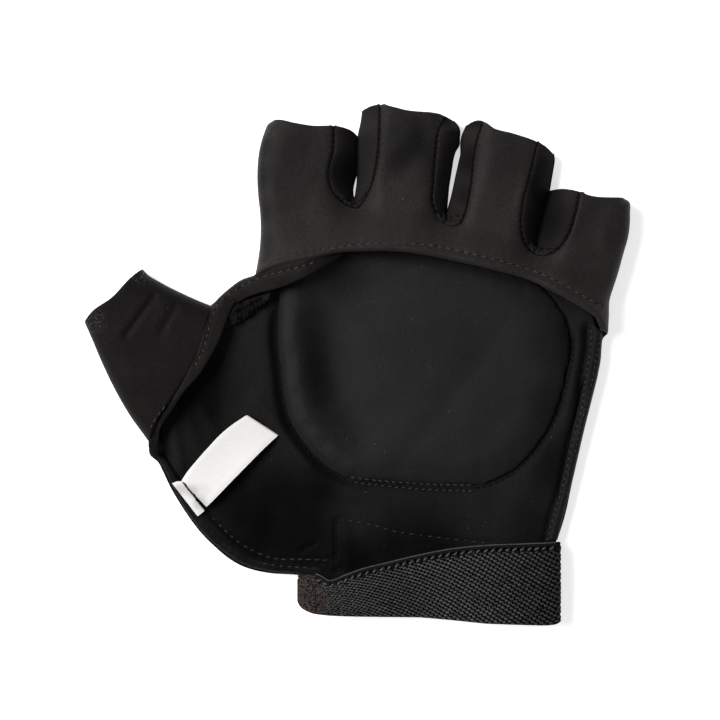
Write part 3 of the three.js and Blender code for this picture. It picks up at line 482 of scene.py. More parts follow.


# the shade lists of these finishes are painted shade: soft round patches, x, y, reach and depth, darkened
# towards near-black where the glove lies in shade
palmCloth = clothFinish("backed palm cloth", {
    "dark": (0.0096, 0.0081, 0.0075), "light": (0.0124, 0.0106, 0.01), "tips": (0.024, 0.0212, 0.0202),
    "rough": 0.6, "fuzz": 0.05, "grain": 2300, "relief": 0.68, "gleam": 0.1, "drift": 28,
    "paintedShade": [
        (17, 71, 17, 0.65), (48, 68, 14, 0.35), (76, 46, 17, 0.42), (72, 30, 12, 0.25), (-16, 66, 20, 0.4),
        (-32, 50, 7, 0.6), (-32, 61, 7, 0.6), (-32, 39, 7, 0.55), (-31, 71, 6, 0.55),
        (-22, 47, 12, 0.15)], "worn": [(-29.6, 76.6, 5, 0.3)]})
# the same palm cloth made about a third as bright on the thumb, as painted shade
thumbPalmCloth = clothFinish("backed palm cloth of the thumb", {
    "dark": (0.0034, 0.0028, 0.0026), "light": (0.0044, 0.0037, 0.0035), "tips": (0.0095, 0.0082, 0.0077),
    "rough": 0.62, "fuzz": 0.03, "grain": 2300, "relief": 0.6, "gleam": 0.06, "drift": 40,
    "worn": [(-85.4, 14.6, 6, 0.35), (-70.2, 29.4, 5, 0.35)]})
gussetCloth = clothFinish("stretch gusset cloth", {
    "dark": (0.0078, 0.0068, 0.0066), "light": (0.0128, 0.0113, 0.0109), "tips": (0.0205, 0.0184, 0.0177),
    "rough": 0.66, "fuzz": 0.02, "grain": 2900, "relief": 0.5, "gleam": 0.03, "drift": 110,
    "paintedShade": [
        (60.5, 47, 13, 0.62), (-5, 63, 9, 0.64), (31, 80, 6, 0.75), (4, 84, 5, 0.25), (38, 80, 5, 0.55),
        (66, 46, 10, 0.15), (60, 58, 9, 0.8), (62.5, 65, 7, 0.75), (38, 66, 8, 0.62), (36, 55, 6, 0.45),
        (-36, 17.5, 12, 0.7)]})
sideCloth = clothFinish("turned side cloth", {
    "dark": (0.0034, 0.0032, 0.0034), "light": (0.0054, 0.0051, 0.0054), "tips": (0.0115, 0.011, 0.0115),
    "rough": 0.62, "fuzz": 0.04, "grain": 2100, "relief": 0.7, "gleam": 0.08, "drift": 60})
backCloth = clothFinish("padded back cloth", {
    "dark": (0.0038, 0.0036, 0.0038), "light": (0.0058, 0.0055, 0.0058), "tips": (0.0125, 0.0119, 0.0123),
    "rough": 0.64, "fuzz": 0.02, "grain": 2100, "relief": 0.7, "gleam": 0.05, "drift": 40,
    "paintedShade": [(-67, -29, 6, 0.5), (-63, -40, 10, 0.6), (-57, -50, 10, 0.6), (-49, -59, 10, 0.6),
                 (-38, -66, 10, 0.6), (-25, -68, 10, 0.6)]})
liningCloth = clothFinish("brushed lining", {
    "dark": (0.0052, 0.0046, 0.0046), "light": (0.0074, 0.0066, 0.0066), "tips": (0.013, 0.0118, 0.0119),
    "rough": 0.66, "fuzz": 0.015, "grain": 2600, "relief": 0.5, "gleam": 0.03, "drift": 30,
    "paintedShade": [
        (-26, -48, 26, 0.85), (-50, -7, 17, 0.6), (-14, -60, 18, 0.6), (18, -62, 26, 0.7), (68, -34, 16, 0.5),
        (-12, -40, 9, 0.5), (60, -56, 16, 0.5), (-46, -42, 16, 0.5), (-36, -56, 18, 0.6), (-52, -16, 12, 0.4),
        (-2, -62, 10, 0.7), (10, -61, 10, 0.4), (26, -58, 11, 0.3), (1, -66, 8, 0.6)]})
padCloth = clothFinish("pad jersey", {
    "dark": (0.008, 0.0073, 0.0075), "light": (0.0104, 0.0095, 0.0097), "tips": (0.018, 0.0166, 0.017),
    "rough": 0.58, "fuzz": 0.03, "grain": 2600, "relief": 0.5, "gleam": 0.07, "drift": 32,
    "paintedShade": [
        (-15.5, 20, 9, 0.3), (-14.5, 13, 9, 0.45), (-14, 6, 9, 0.62), (-13.4, -1, 9, 0.75), (-12, -8, 9, 0.7),
        (-9.5, -15, 9, 0.4), (-4, -22, 10, 0.25), (-4, 28, 12, 0.35), (64, 8, 12, 0.35), (60, -12, 10, 0.25),
        (34, 6, 14, 0.15)]})
facingCloth = clothFinish("knitted backing", {
    "dark": (0.0076, 0.0066, 0.0062), "light": (0.0108, 0.0094, 0.0089), "tips": (0.0185, 0.0164, 0.0155),
    "rough": 0.64, "fuzz": 0.04, "grain": 2300, "relief": 0.6, "gleam": 0.06,
    "paintedShade": [(-4, 35, 9, 0.7), (-12, 32, 8, 0.4), (-24, 25, 6, 0.3), (-66, -27, 6, 0.5),
                 (-61, -15, 7, 0.35)]})
elasticYarn = clothFinish("ribbed elastic", {
    "dark": (0.022, 0.0213, 0.0212), "light": (0.04, 0.039, 0.039), "tips": (0.115, 0.112, 0.112),
    "rough": 0.7, "fuzz": 0, "grain": 1900, "relief": 0.9, "gleam": 0.01, "drift": 260,
    # the gap colour is painted shade between the ribs
    "gap": (0.0002, 0.0002, 0.0002), "endDark": (0.004, 0.0033, 0.0029), "endLight": (0.085, 0.068, 0.058),
    "ribEdge": (0.34, 0.74), "slant": 0.4, "notch": 0.14,
    # along the band: from x, to x, and the shares there
    "looseAlong": (-0.012, 0.004, 2.4, 0.55), "endAlong": (-0.0125, -0.0075, 0.75, 0),
    "paintedShade": [(66, -72, 34, 0.4), (14, -76, 16, 0.15)]})
edgeCord = clothFinish("wrist edge cord", {
    "dark": (0.026, 0.0254, 0.0248), "light": (0.042, 0.041, 0.0403), "tips": (0.08, 0.078, 0.0765),
    "rough": 0.5, "fuzz": 0.02, "grain": 1500, "relief": 0.5, "gleam": 0.2})
overlockYarn = clothFinish("overlock yarn", {
    "dark": (0.022, 0.0214, 0.021), "light": (0.036, 0.035, 0.0345), "tips": (0.07, 0.068, 0.0665),
    "rough": 0.45, "fuzz": 0.03, "grain": 2000, "relief": 0.8, "gleam": 0.25, "drift": 500})
blackThread = clothFinish("black thread", {
    "dark": (0.011, 0.0113, 0.011), "light": (0.024, 0.0228, 0.0222), "tips": (0.05, 0.0478, 0.047),
    "rough": 0.5, "fuzz": 0.03, "grain": 2400, "relief": 0.8, "gleam": 0.2, "drift": 500})
# black thread made far darker as painted shade of the seams it lies in; it also colours the painted shade of
# needle holes, crotch folds and below the wrist cord
shadeDarkThread = clothFinish("dark thread and painted shade", {
    "dark": (0.0009, 0.0008, 0.0008), "light": (0.0018, 0.0017, 0.0017), "tips": (0.006, 0.0056, 0.0055),
    "rough": 0.6, "fuzz": 0.01, "grain": 2400, "relief": 0.6, "gleam": 0.08, "drift": 500})
satinRibbon = clothFinish("white satin ribbon", {
    "dark": (0.72, 0.71, 0.69), "light": (0.76, 0.75, 0.73), "tips": (0.8, 0.79, 0.77),
    "rough": 0.42, "fuzz": 0.06, "grain": 2600, "relief": 0.25, "gleam": 0.35, "rib": 900, "ribTurn": 41,
    "ribDepth": 0.4, "lint": 30,
    "paintedShade": [(-54, -41, 3.5, 0.3), (-51.2, -45, 3.5, 0.35), (-57.6, -40.4, 3, 0.3),
                 (-50.4, -41.2, 4, 0.12)]})
print("finishes ready")

# outlines that more than one piece shares


# down one side of a slot between two fingers and up the other
def slotLine(down, up):
    return np.vstack([flowing(down, 0.7), flowing(up, 0.7)[1:]])


indexSide = flowing([(-33.1, 29.4), (-32.7, 31.5), (-31.7, 38), (-31.4, 44), (-31.6, 49.7), (-32.2, 54.9),
                     (-32.5, 62.7), (-31.6, 71), (-30.3, 75.4), (-29, 78.4), (-27.3, 79.6)])
slotIndexMiddle = slotLine(
    [(0, 74.8), (0.05, 72), (-0.05, 68), (-0.1, 64.5), (-0.3, 61.8), (-0.9, 59.8), (-1.35, 57.8), (-1.4, 56),
     (-1.2, 54.7), (-1, 54.3)],
    [(-1, 54.3), (-0.7, 55.4), (-0.45, 57.2), (-0.15, 59.3), (-0.1, 61.5), (0.03, 64.5), (0.09, 68), (0.2, 72),
     (0.4, 75.8), (0.95, 78.3), (1.3, 80.3), (1.6, 82.9)])
slotMiddleRing = slotLine(
    [(31.5, 79.6), (32.8, 78.2), (33.5, 76.2), (33.35, 74), (33.2, 71.4), (32.1, 69.8), (31.4, 67.6),
     (30.9, 64.7), (30.4, 61.5), (29.9, 58.4), (29.6, 55), (29.3, 51.5), (29.2, 49.8)],
    [(29.2, 49.8), (29.9, 52.4), (30.6, 54.9), (31.2, 57.5), (31.9, 60.8), (32.6, 64), (33.2, 66.6), (33.7, 69),
     (33.65, 71), (33.7, 73), (34.2, 75.2), (34.9, 76.8), (35.4, 78)])
slotRingLittle = slotLine(
    [(64, 68.9), (64.3, 67.4), (63.9, 64), (63.3, 60.5), (62.75, 57.2), (61.2, 51), (59.9, 45.6), (58.9, 41.5),
     (58.7, 39.3)],
    [(58.7, 39.3), (59, 41.5), (60, 45.6), (61.3, 51), (62.9, 56.9)])
littleSide = flowing([(86.9, 54.3), (88.6, 53.2), (88.9, 49.4), (88.4, 42.2), (86.8, 36.4), (84.3, 27.6),
                      (83.2, 24.4), (82.2, 21), (82, 16.3), (81.7, 10.2)])
palmHem = flowing([
    (81.7, 10.2), (80.8, 11.4), (78.7, 13.8), (75.5, 16.6), (71.9, 18.9), (64.7, 22.8), (55.2, 27.6),
    (44.2, 30.6), (34.1, 33), (22.4, 35.4), (15.3, 36.4), (4.2, 36.7), (-6.5, 36.1), (-13.7, 34.3),
    (-21.8, 32.6), (-28.3, 30.9), (-33.1, 29.4)])
mouths = {
    "index": [(-27.3, 79.6), (-25.7, 79.6), (-20, 78.4), (-14.3, 77.5), (-7.5, 77.4), (-1, 75.7), (0, 74.8)],
    "middle": [(1.6, 82.9), (4.5, 84.1), (7.5, 84.3), (16.2, 82.5), (28.4, 80.9), (31.5, 79.6)],
    "ring": [(35.4, 78), (38.4, 79.3), (41, 79), (44.2, 76.7), (50.1, 75.1), (58.4, 72.3), (61.4, 70.9),
             (64, 68.9)],
    "little": [(62.9, 56.9), (66, 57.2), (72, 56.1), (75.1, 55), (86.9, 54.3)],
}
gussetSeams = {
    "index_middle": flowing([
        (-7.5, 77.4), (-7.8, 68.9), (-9, 64.7), (-9.1, 59.5), (-7.5, 55.6), (-4.2, 52.6), (-1, 51), (0.3, 51),
        (1.6, 52.3), (4.5, 57.5), (6.2, 64), (7.2, 72.8), (7.5, 84.3)]),
    "middle_ring": flowing([
        (28.4, 80.9), (26.3, 75.4), (25.4, 67.6), (24.7, 59.5), (24.4, 52.3), (25.7, 49.1), (28.9, 45.5),
        (31.5, 44.9), (33.8, 46.1), (35.1, 49.1), (36.7, 56.2), (37.7, 64), (39, 72.8), (41, 79)]),
    "ring_little": flowing([
        (58.4, 72.3), (56.2, 62.7), (53.6, 52.3), (53, 45.5), (54, 40.3), (56.9, 36.4), (60.1, 35.4),
        (63.7, 36.4), (66, 38.4), (68.2, 41.6), (70.2, 47.1), (71.5, 52.6), (72, 55.9)]),
}
thumbUpper = flowing([(-69.9, 31.3), (-67.9, 29.2), (-64.7, 27.3), (-53.6, 21.8), (-47.3, 19.2)])
thumbLower = flowing([(-88.8, 13.9), (-86.7, 9.2), (-83.1, 0.7), (-78.6, -8.6), (-73.6, -17.1), (-69.4, -22.9),
                      (-67.9, -25)])
thumbMouth = flowing([(-88.8, 13.9), (-86, 17.3), (-79.6, 21.8), (-72.8, 28.9), (-69.9, 31.3)])
thumbFold = flowing([(-47.3, 19.2), (-49.4, 10.7), (-51.4, 3.9), (-54.3, -1.6), (-59.8, -10.4), (-64.7, -17.9),
                     (-67.9, -25)])
webLine = flowing([(-47.3, 19.2), (-45.3, 21.7), (-41.4, 25.2), (-38.1, 27.6), (-33.1, 29.4)])
rightEdge = flowing([(81.7, 10.2), (80.1, 8.6), (79.8, 6.4), (79.5, 2), (78.6, -3), (76.8, -10.4),
                     (74.5, -19.5), (70.3, -37.6), (66.4, -54), (64.8, -58)])
lowLeftEdge = flowing([
    (-67.9, -25), (-67.6, -29.6), (-65.2, -31.6), (-63.8, -34.2), (-61.4, -39.4), (-57.9, -45.4),
    (-52.2, -53.5), (-46.5, -59.3), (-41.3, -63.6), (-37.5, -65.7), (-33.2, -67.1), (-28.3, -68),
    (-20.2, -68.5), (-15.5, -69.2), (-11.4, -71.2)])


# finger cloth and gussets


fingerLook = {"wall": 1.6, "hemWall": 2.4, "tubeRise": 8.4, "palmRise": 12.6, "sideRound": 10, "palmRound": 20,
              "slotWall": 10.5, "palmSlotWall": 9, "sideCurve": 3.3, "slotCurve": 2.3, "blend": 5,
              "soft": 0.13, "fine": 0.05, "crumple": 0.5,
              "hemRoll": 0.65, "step": 0.85}
crotches = [(-31.4, 50), (-1, 54.3), (29.2, 49.7), (58.8, 39), (84.6, 31)]
hemRow = flowing([(-33.5, 32), (-21, 35.3), (-10.1, 37.2), (-0.7, 38.6), (11.7, 39.2), (25.4, 38.3),
                  (34.1, 36.5), (47.8, 33.1), (58.2, 29.9), (68.2, 25), (73.1, 22.1), (77, 20), (81.4, 18)])
fingerFolds = [  # soft hollows and swells of the finger cloth
    ((11, 60), (22, 70), 4, -0.8), ((10, 67), (18, 76), 3.2, 0.4), ((24, 68), (22, 78), 3.5, -0.4),
    ((-24, 60), (-16, 72), 5, -0.3), ((-28, 44), (-27, 60), 2.6, 0.3), ((44, 60), (48, 72), 4, 0.3),
    ((50, 52), (56, 66), 2.6, -0.3), ((74, 44), (80, 52), 3.5, -0.35), ((62, 33), (78, 38), 3, 0.3),
    ((-12, 46), (14, 45), 6, 0.3), ((20, 46), (44, 40), 5, 0.3), ((84, 30), (80, 42), 2.4, 0.3)]


# 0 at the line through the crotches, 1 at the arched hem
def palmShare(points):
    x, y = points.T
    crotch = np.interp(x, *zip(*crotches))
    hem = np.interp(x, palmHem[::-1, 0], palmHem[::-1, 1])
    return np.clip((crotch - y) / np.maximum(crotch - hem, 1), 0, 1)


def fingerTop(points):
    look, share = fingerLook, palmShare(points)
    rise = look["tubeRise"] + (look["palmRise"] - look["tubeRise"]) * smoothStep(share, 0, 1)
    reach = look["sideRound"] + (look["palmRound"] - look["sideRound"]) * share
    sides = softLeast(points, (indexSide, littleSide))
    slots = softLeast(points, (slotIndexMiddle, slotMiddleRing, slotRingLittle))
    outer = rounded(sides / reach, look["sideCurve"])
    slotReach = look["slotWall"] + look["palmSlotWall"] * share
    wallUp = 1 - (1 - np.clip(slots / slotReach, 0, 1)) ** look["slotCurve"]
    blend = look["blend"]
    lowest = (np.maximum(outer, 1e-3) ** -blend + np.maximum(wallUp, 1e-3) ** -blend - 1) ** (-1 / blend)
    height = sideHeight + rise * lowest
    away = np.minimum(sides, slots)
    calm = smoothStep(away, 0.2, 4)
    height += calm * (look["soft"] * waver(points, 15, 3) + look["fine"] * waver(points, 4.2, 4)
                      + foldsAt(points, fingerFolds))
    for seam in gussetSeams.values():
        height += calm * sewnAt(points, seam, groove=0.6, width=0.5, pucker=0.2, pitch=2.1, reach=1.5)
    for x, y in crotches[1:4]:  # the cloth bunches up where the fingers part
        near = hump(np.hypot(points[:, 0] - x, points[:, 1] - y + 1.5), 3)
        height += near * look["crumple"] * waver(points, 2.6, 21) * smoothStep(away, 0, 0.6)
    height += sewnAt(points, hemRow, groove=0.4, width=0.55, pucker=0.08, pitch=2.8, reach=1.6)
    return height + look["hemRoll"] * hump(gapTo(points, palmHem) - 1.3, 0.8) * smoothStep(sides, 1, 5)


def fingerWall(points):
    thicker = 1 - smoothStep(gapTo(points, palmHem), 1.2, 3.4)
    return fingerLook["wall"] + (fingerLook["hemWall"] - fingerLook["wall"]) * thicker


# the part of a finger's mouth between two places
def mouth(name, near, far):
    return cut(flowing(mouths[name]), near, far)


bandRing = ringOf(
    indexSide, mouth("index", (-27.3, 79.6), (-7.5, 77.4)), gussetSeams["index_middle"],
    mouth("middle", (7.5, 84.3), (28.4, 80.9)), gussetSeams["middle_ring"],
    mouth("ring", (41, 79), (58.4, 72.3)), gussetSeams["ring_little"],
    mouth("little", (72, 55.9), (86.9, 54.3)), littleSide, palmHem)
fingerBand = clothBody("finger_cloth", bandRing, fingerTop, fingerWall, palmCloth, fingerLook["step"])
declareCloth(fingerBand, "finger_band", "palm_cloth", (0.126, 0.078), 0.0047, "stretched", ["back_shell"])

gussetParts = {
    "index_middle": (mouth("middle", (7.5, 84.3), (1.6, 82.9)), slotIndexMiddle[::-1],
                     mouth("index", (0, 74.8), (-7.5, 77.4))),
    "middle_ring": (mouth("ring", (41, 79), (35.4, 78)), slotMiddleRing[::-1],
                    mouth("middle", (31.5, 79.6), (28.4, 80.9))),
    "ring_little": (mouth("little", (72, 55.9), (62.9, 56.9)), slotRingLittle[::-1],
                    mouth("ring", (64, 68.9), (58.4, 72.3))),
}
for name, parts in gussetParts.items():
    ring = ringOf(gussetSeams[name], *parts, step=0.6)
    gusset = clothBody("gusset_cloth_" + name, ring, fingerTop, fingerWall, gussetCloth, 0.45)
    declareCloth(gusset, "gusset_" + name, "gusset_cloth", (0.014, 0.066), 0.00066, "stretched",
                 ["finger_band"])

crotchTucks = [  # small tucks of the gussets where the fingers part: from, to, thickness
    ((-6.4, 55.5), (-1.8, 53.3), 1.1), ((-4.6, 53.6), (-1.6, 52), 0.8), ((-0.1, 53), (2.9, 56.6), 1.1),
    ((27.9, 49.9), (28.1, 46.6), 0.85), ((30.2, 49.7), (30, 46.6), 0.85), ((25.8, 49.4), (27.6, 46.8), 0.9),
    ((30.9, 50.6), (34.6, 48.4), 1.1), ((31.4, 47.8), (33.6, 46.9), 0.8), ((56.5, 39.6), (57, 37), 0.9),
    ((58.8, 38.9), (58.8, 36.5), 0.8), ((60.3, 39.6), (64.6, 37.8), 1.2), ((60.4, 37.4), (63, 36.7), 0.8)]
# near-black spots painted as the shade in the folds where the fingers part: x, y, size
crotchShadeSpots = [(-2.9, 54.2, 0.6), (-0.9, 52.7, 0.5), (29.1, 48.4, 0.7), (26.8, 48.9, 0.5), (32.4, 48.7, 0.6),
                 (57.8, 38, 0.75), (59.7, 37.8, 0.7), (61.9, 37.8, 0.5)]
tuckLook = {"size": 0.7, "flat": 0.9, "above": 0.3, "shadeAbove": 0.6, "shadeThick": 0.15}
tucks, crotchShades = [], []
for start, end, thick in crotchTucks:
    line = flowing([start, ((start[0] + end[0]) / 2 + 0.15, (start[1] + end[1]) / 2 - 0.2), end], 0.3)
    size = tuckLook["size"] * thick * np.sqrt(np.maximum(1 - np.linspace(-1, 1, len(line)) ** 2, 0.02))
    tucks.append(tubeAlong(np.column_stack([line, fingerTop(line) + tuckLook["above"]]), size,
                           size * tuckLook["flat"]))
for x, y, size in crotchShadeSpots:
    line = np.array([x, y]) + size * np.array([(-0.7, 0.5), (-0.3, 0.2), (0, 0), (0.3, -0.2), (0.6, -0.6)])
    radii = size * np.array([0.3, 0.8, 1, 0.8, 0.3])
    crotchShades.append(tubeAlong(np.column_stack([line, fingerTop(line) + tuckLook["shadeAbove"]]), radii,
                             tuckLook["shadeThick"]))
for name, bodies, cloth in (("crotch_tucks", tucks, gussetCloth), ("crotch_painted_shade", crotchShades, shadeDarkThread)):
    declare(joined(name, bodies, cloth), "gusset_cloth")
print("finger cloth and gussets ready")

# thumb


thumbLook = {"wall": 1.6, "foldWall": 1.2, "rise": 7.6, "round": 10, "curve": 2.6, "soft": 0.13, "fine": 0.05,
             "step": 0.85}
thumbFolds = [
    ((-65.6, 22.2), (-74.8, 9.6), 0.85, -0.95), ((-69, 21), (-78, 8.6), 2.6, 0.15),
    ((-58.6, 19), (-63, 11), 1.1, -0.5), ((-61.8, 20), (-67, 9.4), 1.7, 0.1), ((-76, -4), (-62, -2), 5, 0.4)]


def thumbTop(points):
    look, away = thumbLook, softLeast(points, (thumbUpper, thumbLower))
    height = sideHeight + look["rise"] * rounded(away / look["round"], look["curve"])
    uneven = look["soft"] * waver(points, 13, 6) + look["fine"] * waver(points, 4, 7)
    return height + smoothStep(away, 0.2, 4) * (uneven + foldsAt(points, thumbFolds))


def thumbWall(points):
    thinner = 1 - smoothStep(gapTo(points, thumbFold), 1, 3)
    return thumbLook["wall"] + (thumbLook["foldWall"] - thumbLook["wall"]) * thinner


thumbRing = ringOf(thumbMouth, thumbUpper, thumbFold, thumbLower[::-1])
thumbCloth = clothBody("thumb_cloth", thumbRing, thumbTop, thumbWall, thumbPalmCloth, thumbLook["step"])
declareCloth(thumbCloth, "thumb_panel", "palm_cloth", (0.046, 0.060), 0.0015, "stretched", ["back_shell"])
print("thumb ready")

# facings and the bunched allowance at the web


# the fold of a facing lies under its hem: how far points are from it and along it, and its height there
def underHem(points, fold, heightOf):
    fold = flowing(fold)
    away, along = nearLine(points, fold)[:2]
    run = lengthsAlong(fold)
    hemHeight = np.convolve(np.pad(heightOf(fold, run), 4, "edge"), np.ones(9) / 9, "valid")
    return away, along, np.interp(along, run, hemHeight)


def facing(name, look, topAt, cloth, step, rows):
    ring = ringOf(flowing(look["fold"]), flowing(look["edge"]))
    return clothBody(name, ring, topAt, look["wall"], cloth, step, rows)


fingerFacing = {
    "fold": [(-46.6, 20.2), (-45.3, 21.7), (-41.4, 25.2), (-38.1, 27.6), (-33.1, 29.4), (-28, 31.6),
             (-21, 33.5), (-14, 35), (-9, 36), (-4.6, 36.3)],
    "edge": [(-4.4, 35.7), (-7.1, 33.8), (-9.5, 32.5), (-11.9, 31.2), (-16.1, 28.8), (-19, 27.4), (-23.9, 25.4),
             (-28, 24.3), (-32.2, 23.3), (-36, 21.9), (-38.8, 20.2)],
    "wall": 1.1, "webHeight": 8.8, "under": 0.55, "droop": 1.9, "droopOver": 7, "uneven": 0.12,
    "tipDrop": 2.4, "tip": (-17, -5)}


def fingerFacingTop(points):
    look, webEnd = fingerFacing, -33.1

    def heightOf(fold, run):
        plain = np.maximum(fingerTop(fold), look["webHeight"])
        return np.where(fold[:, 0] < webEnd, look["webHeight"], plain)

    away, along, top = underHem(points, look["fold"], heightOf)
    droop = look["droop"] * np.clip(away / look["droopOver"], 0, 1) ** 1.5
    height = top - look["under"] - droop + look["uneven"] * waver(points, 5, 31)
    height += sewnAt(points, fingerFacingRow, groove=0.4, width=0.5, pucker=0.07, pitch=2.6, reach=1.2)
    height -= look["tipDrop"] * smoothStep(points[:, 0], *look["tip"])
    rolled = rounded(gapTo(points, webLine) / 1.7)
    return np.where(points[:, 0] < webEnd, sideHeight + (height - sideHeight) * rolled, height)


fingerFacingRow = flowing([(-44.6, 20.4), (-42.9, 21.9), (-40.2, 23.9), (-36.6, 26.2), (-32.2, 28),
                           (-29.2, 28.9), (-26, 29.7), (-20.5, 31.1), (-14.6, 32.8)])
fingerFacingCloth = facing("finger_facing_cloth", fingerFacing, fingerFacingTop, facingCloth, 0.7,
                           (0.06, 0.25, 0.6, 1.1))
declareCloth(fingerFacingCloth, "finger_facing", "facing_cloth", (0.040, 0.010), 0.00028, "folded",
             ["finger_band"])

thumbFacing = {
    "fold": [(-47.5, 19.5), (-49.9, 10.8), (-51.9, 4), (-54.6, -1.6), (-59.8, -10.4), (-64.6, -18),
             (-67.8, -25.1), (-67.6, -28)],
    "edge": [
        (-66.8, -29.9), (-64.9, -29.6), (-64.6, -27), (-64.2, -21.6), (-59.4, -13.8), (-55.8, -8.3),
        (-51.3, -3.4), (-47.7, 2.4), (-44.8, 7.8), (-43.2, 12), (-41.4, 17.2), (-39.9, 20.8), (-43, 23.3),
        (-45.2, 21.4)],
    "wall": 1.1, "under": [-0.12, 0.1, 1.2], "droop": 2.6, "droopOver": 7, "uneven": 0.12,
    "least": [8.4, 8.8, 7, 5.6]}


def thumbFacingTop(points):
    look = thumbFacing

    def heightOf(fold, run):
        return np.maximum(thumbTop(fold), np.interp(run, [0, 8, 46, 52], look["least"]))

    away, along, top = underHem(points, look["fold"], heightOf)
    height = top - np.interp(along, [0, 20, 40], look["under"])
    droop = look["droop"] * np.clip(away / look["droopOver"], 0, 1) ** 1.4
    height += look["uneven"] * waver(points, 6, 33) - droop
    height += sewnAt(points, thumbFacingRow, groove=0.4, width=0.5, pucker=0.07, pitch=2.5, reach=1.2)
    nearWeb = 1 - smoothStep(along, 4, 8)
    return height - (height - sideHeight) * (1 - rounded(gapTo(points, webLine) / 2.4)) * nearWeb


thumbFacingRow = flowing([(-45, 20.4), (-47, 15.6), (-48.4, 10.1), (-50, 4.5), (-52.8, -0.8)])
thumbFacingCloth = facing("thumb_facing_cloth", thumbFacing, thumbFacingTop, facingCloth, 0.7,
                          (0.06, 0.25, 0.6, 1.1))
declareCloth(thumbFacingCloth, "thumb_facing", "facing_cloth", (0.056, 0.010), 0.00024, "folded",
             ["thumb_panel"])

webAllowance = {
    "fold": [(-43.8, 14.6), (-41.4, 17.4), (-38.6, 20), (-35.2, 21.4), (-30.9, 22.9), (-27.8, 23.8)],
    "edge": [(-28.2, 21.8), (-30.8, 19.4), (-33.6, 17.3), (-36.9, 14.9), (-40.6, 13), (-43.6, 12)],
    "wall": 1, "height": 6.3, "crumple": (0.7, 0.45),
    "folds": [((-40.2, 16.4), (-30, 22), 0.6, -1), ((-39, 15), (-29.6, 21.4), 0.5, 0.6)]}


def allowanceTop(points):
    broad, fine = webAllowance["crumple"]
    crumple = broad * waver(points, 2.8, 41) + fine * waver(points, 1.4, 42)
    return webAllowance["height"] + crumple + foldsAt(points, webAllowance["folds"])


allowanceCloth = facing("web_allowance_cloth", webAllowance, allowanceTop, gussetCloth, 0.5, (0.06, 0.25, 0.6))
declareCloth(allowanceCloth, "web_allowance", "facing_cloth", (0.018, 0.010), 0.00011, "gathered",
             ["shell_lining"])
print("facings ready")

# padded back


backLook = {"wall": 1.8, "turn": 4.6, "step": 1.1, "channel": 0.8, "channelWidth": 1.1, "uneven": 0.12,
            "rimOver": 0.1, "thinnest": 0.8}
wristEnd = {"left": -10.2, "right": 57.8, "end": -76, "lift": 1.9, "from": -51, "to": -57.5}
backChannels = [  # stitched channels of the padding, sunk in from underneath
    flowing([(-25, 24), (-26, 8), (-24, -11), (-17, -26), (-3, -37), (24, -40), (41, -39), (58, -28), (67, -8),
             (70, 8), (64, 21), (50, 31), (24, 40), (0, 40), (-18, 34), (-25, 24)], 2),
    flowing([(-31, 62), (-16, 60), (-1, 61)], 2), flowing([(1, 66), (15, 65), (31, 63)], 2),
    flowing([(33, 62), (47, 59), (62, 54)], 2), flowing([(63, 47), (74, 44), (86, 41)], 2),
    flowing([(-48, 19), (-60, 2), (-68, -14)], 2), flowing([(-46, -10), (-36, -34), (-14, -48), (30, -51),
                                                            (62, -46)], 2)]
# the slots of the back lie a little aside from those above, so that fingers that touch show no light
underSlots = [line + (0.25, 0) for line in (slotIndexMiddle, slotMiddleRing, slotRingLittle)]
upturned = [(line, 1) for line in (indexSide, littleSide, webLine, thumbUpper, thumbLower)]
upturned += [(line, 0.95) for line in underSlots]


def backUnder(points):
    look = backLook
    lifts = [(gapTo(points, line), rise) for line, rise in upturned]
    for line, stations, rises in ((rightEdge, [0, 58, 74], [1.06, 1.06, 0.3]),
                                  (lowLeftEdge, [0, 6, 14], [1, 0.42, 0.24])):
        away, along = nearLine(points, line)[:2]
        lifts.append((away, np.interp(along, stations, rises)))
    up = np.max([(1 - rounded(away / look["turn"])) * rise for away, rise in lifts], axis=0)
    padded = 1 - np.clip(3 * up, 0, 1)  # only the level part is quilted
    height = up * (sideHeight + look["rimOver"])  # the rim reaches the palm side's own edge
    for line in backChannels:
        height += look["channel"] * hump(gapTo(points, line), look["channelWidth"]) * padded
    height += look["uneven"] * (1 + waver(points, 16, 51)) * padded
    return height + smoothStep(-points[:, 1], -wristEnd["from"], -wristEnd["to"]) * wristEnd["lift"]


# thinner along the channels, so that the inside stays level
def backWall(points):
    thick = np.full(len(points), backLook["wall"])
    for line in backChannels:
        thick -= backLook["channel"] * hump(gapTo(points, line), backLook["channelWidth"])
    return np.maximum(thick, backLook["thinnest"])


wristCorners = [(64.6, -58), (wristEnd["right"], -58.6), (wristEnd["right"], wristEnd["end"]),
                (wristEnd["left"] + 1.6, wristEnd["end"]), (wristEnd["left"], -71.6)]
backRing = ringOf(
    indexSide, flowing(mouths["index"]), underSlots[0], flowing(mouths["middle"]), underSlots[1],
    flowing(mouths["ring"]), underSlots[2], flowing(mouths["little"]), littleSide, rightEdge,
    *zip(wristCorners, wristCorners[1:]), lowLeftEdge[::-1], thumbLower[::-1], thumbMouth, thumbUpper, webLine,
    step=0.9)
backPiece = clothBody("padded_back", backRing, backUnder, backWall, backCloth, backLook["step"], inward=1)
declare(backPiece, "back_cloth", "back_shell")
print("back ready")

# lining inside the back


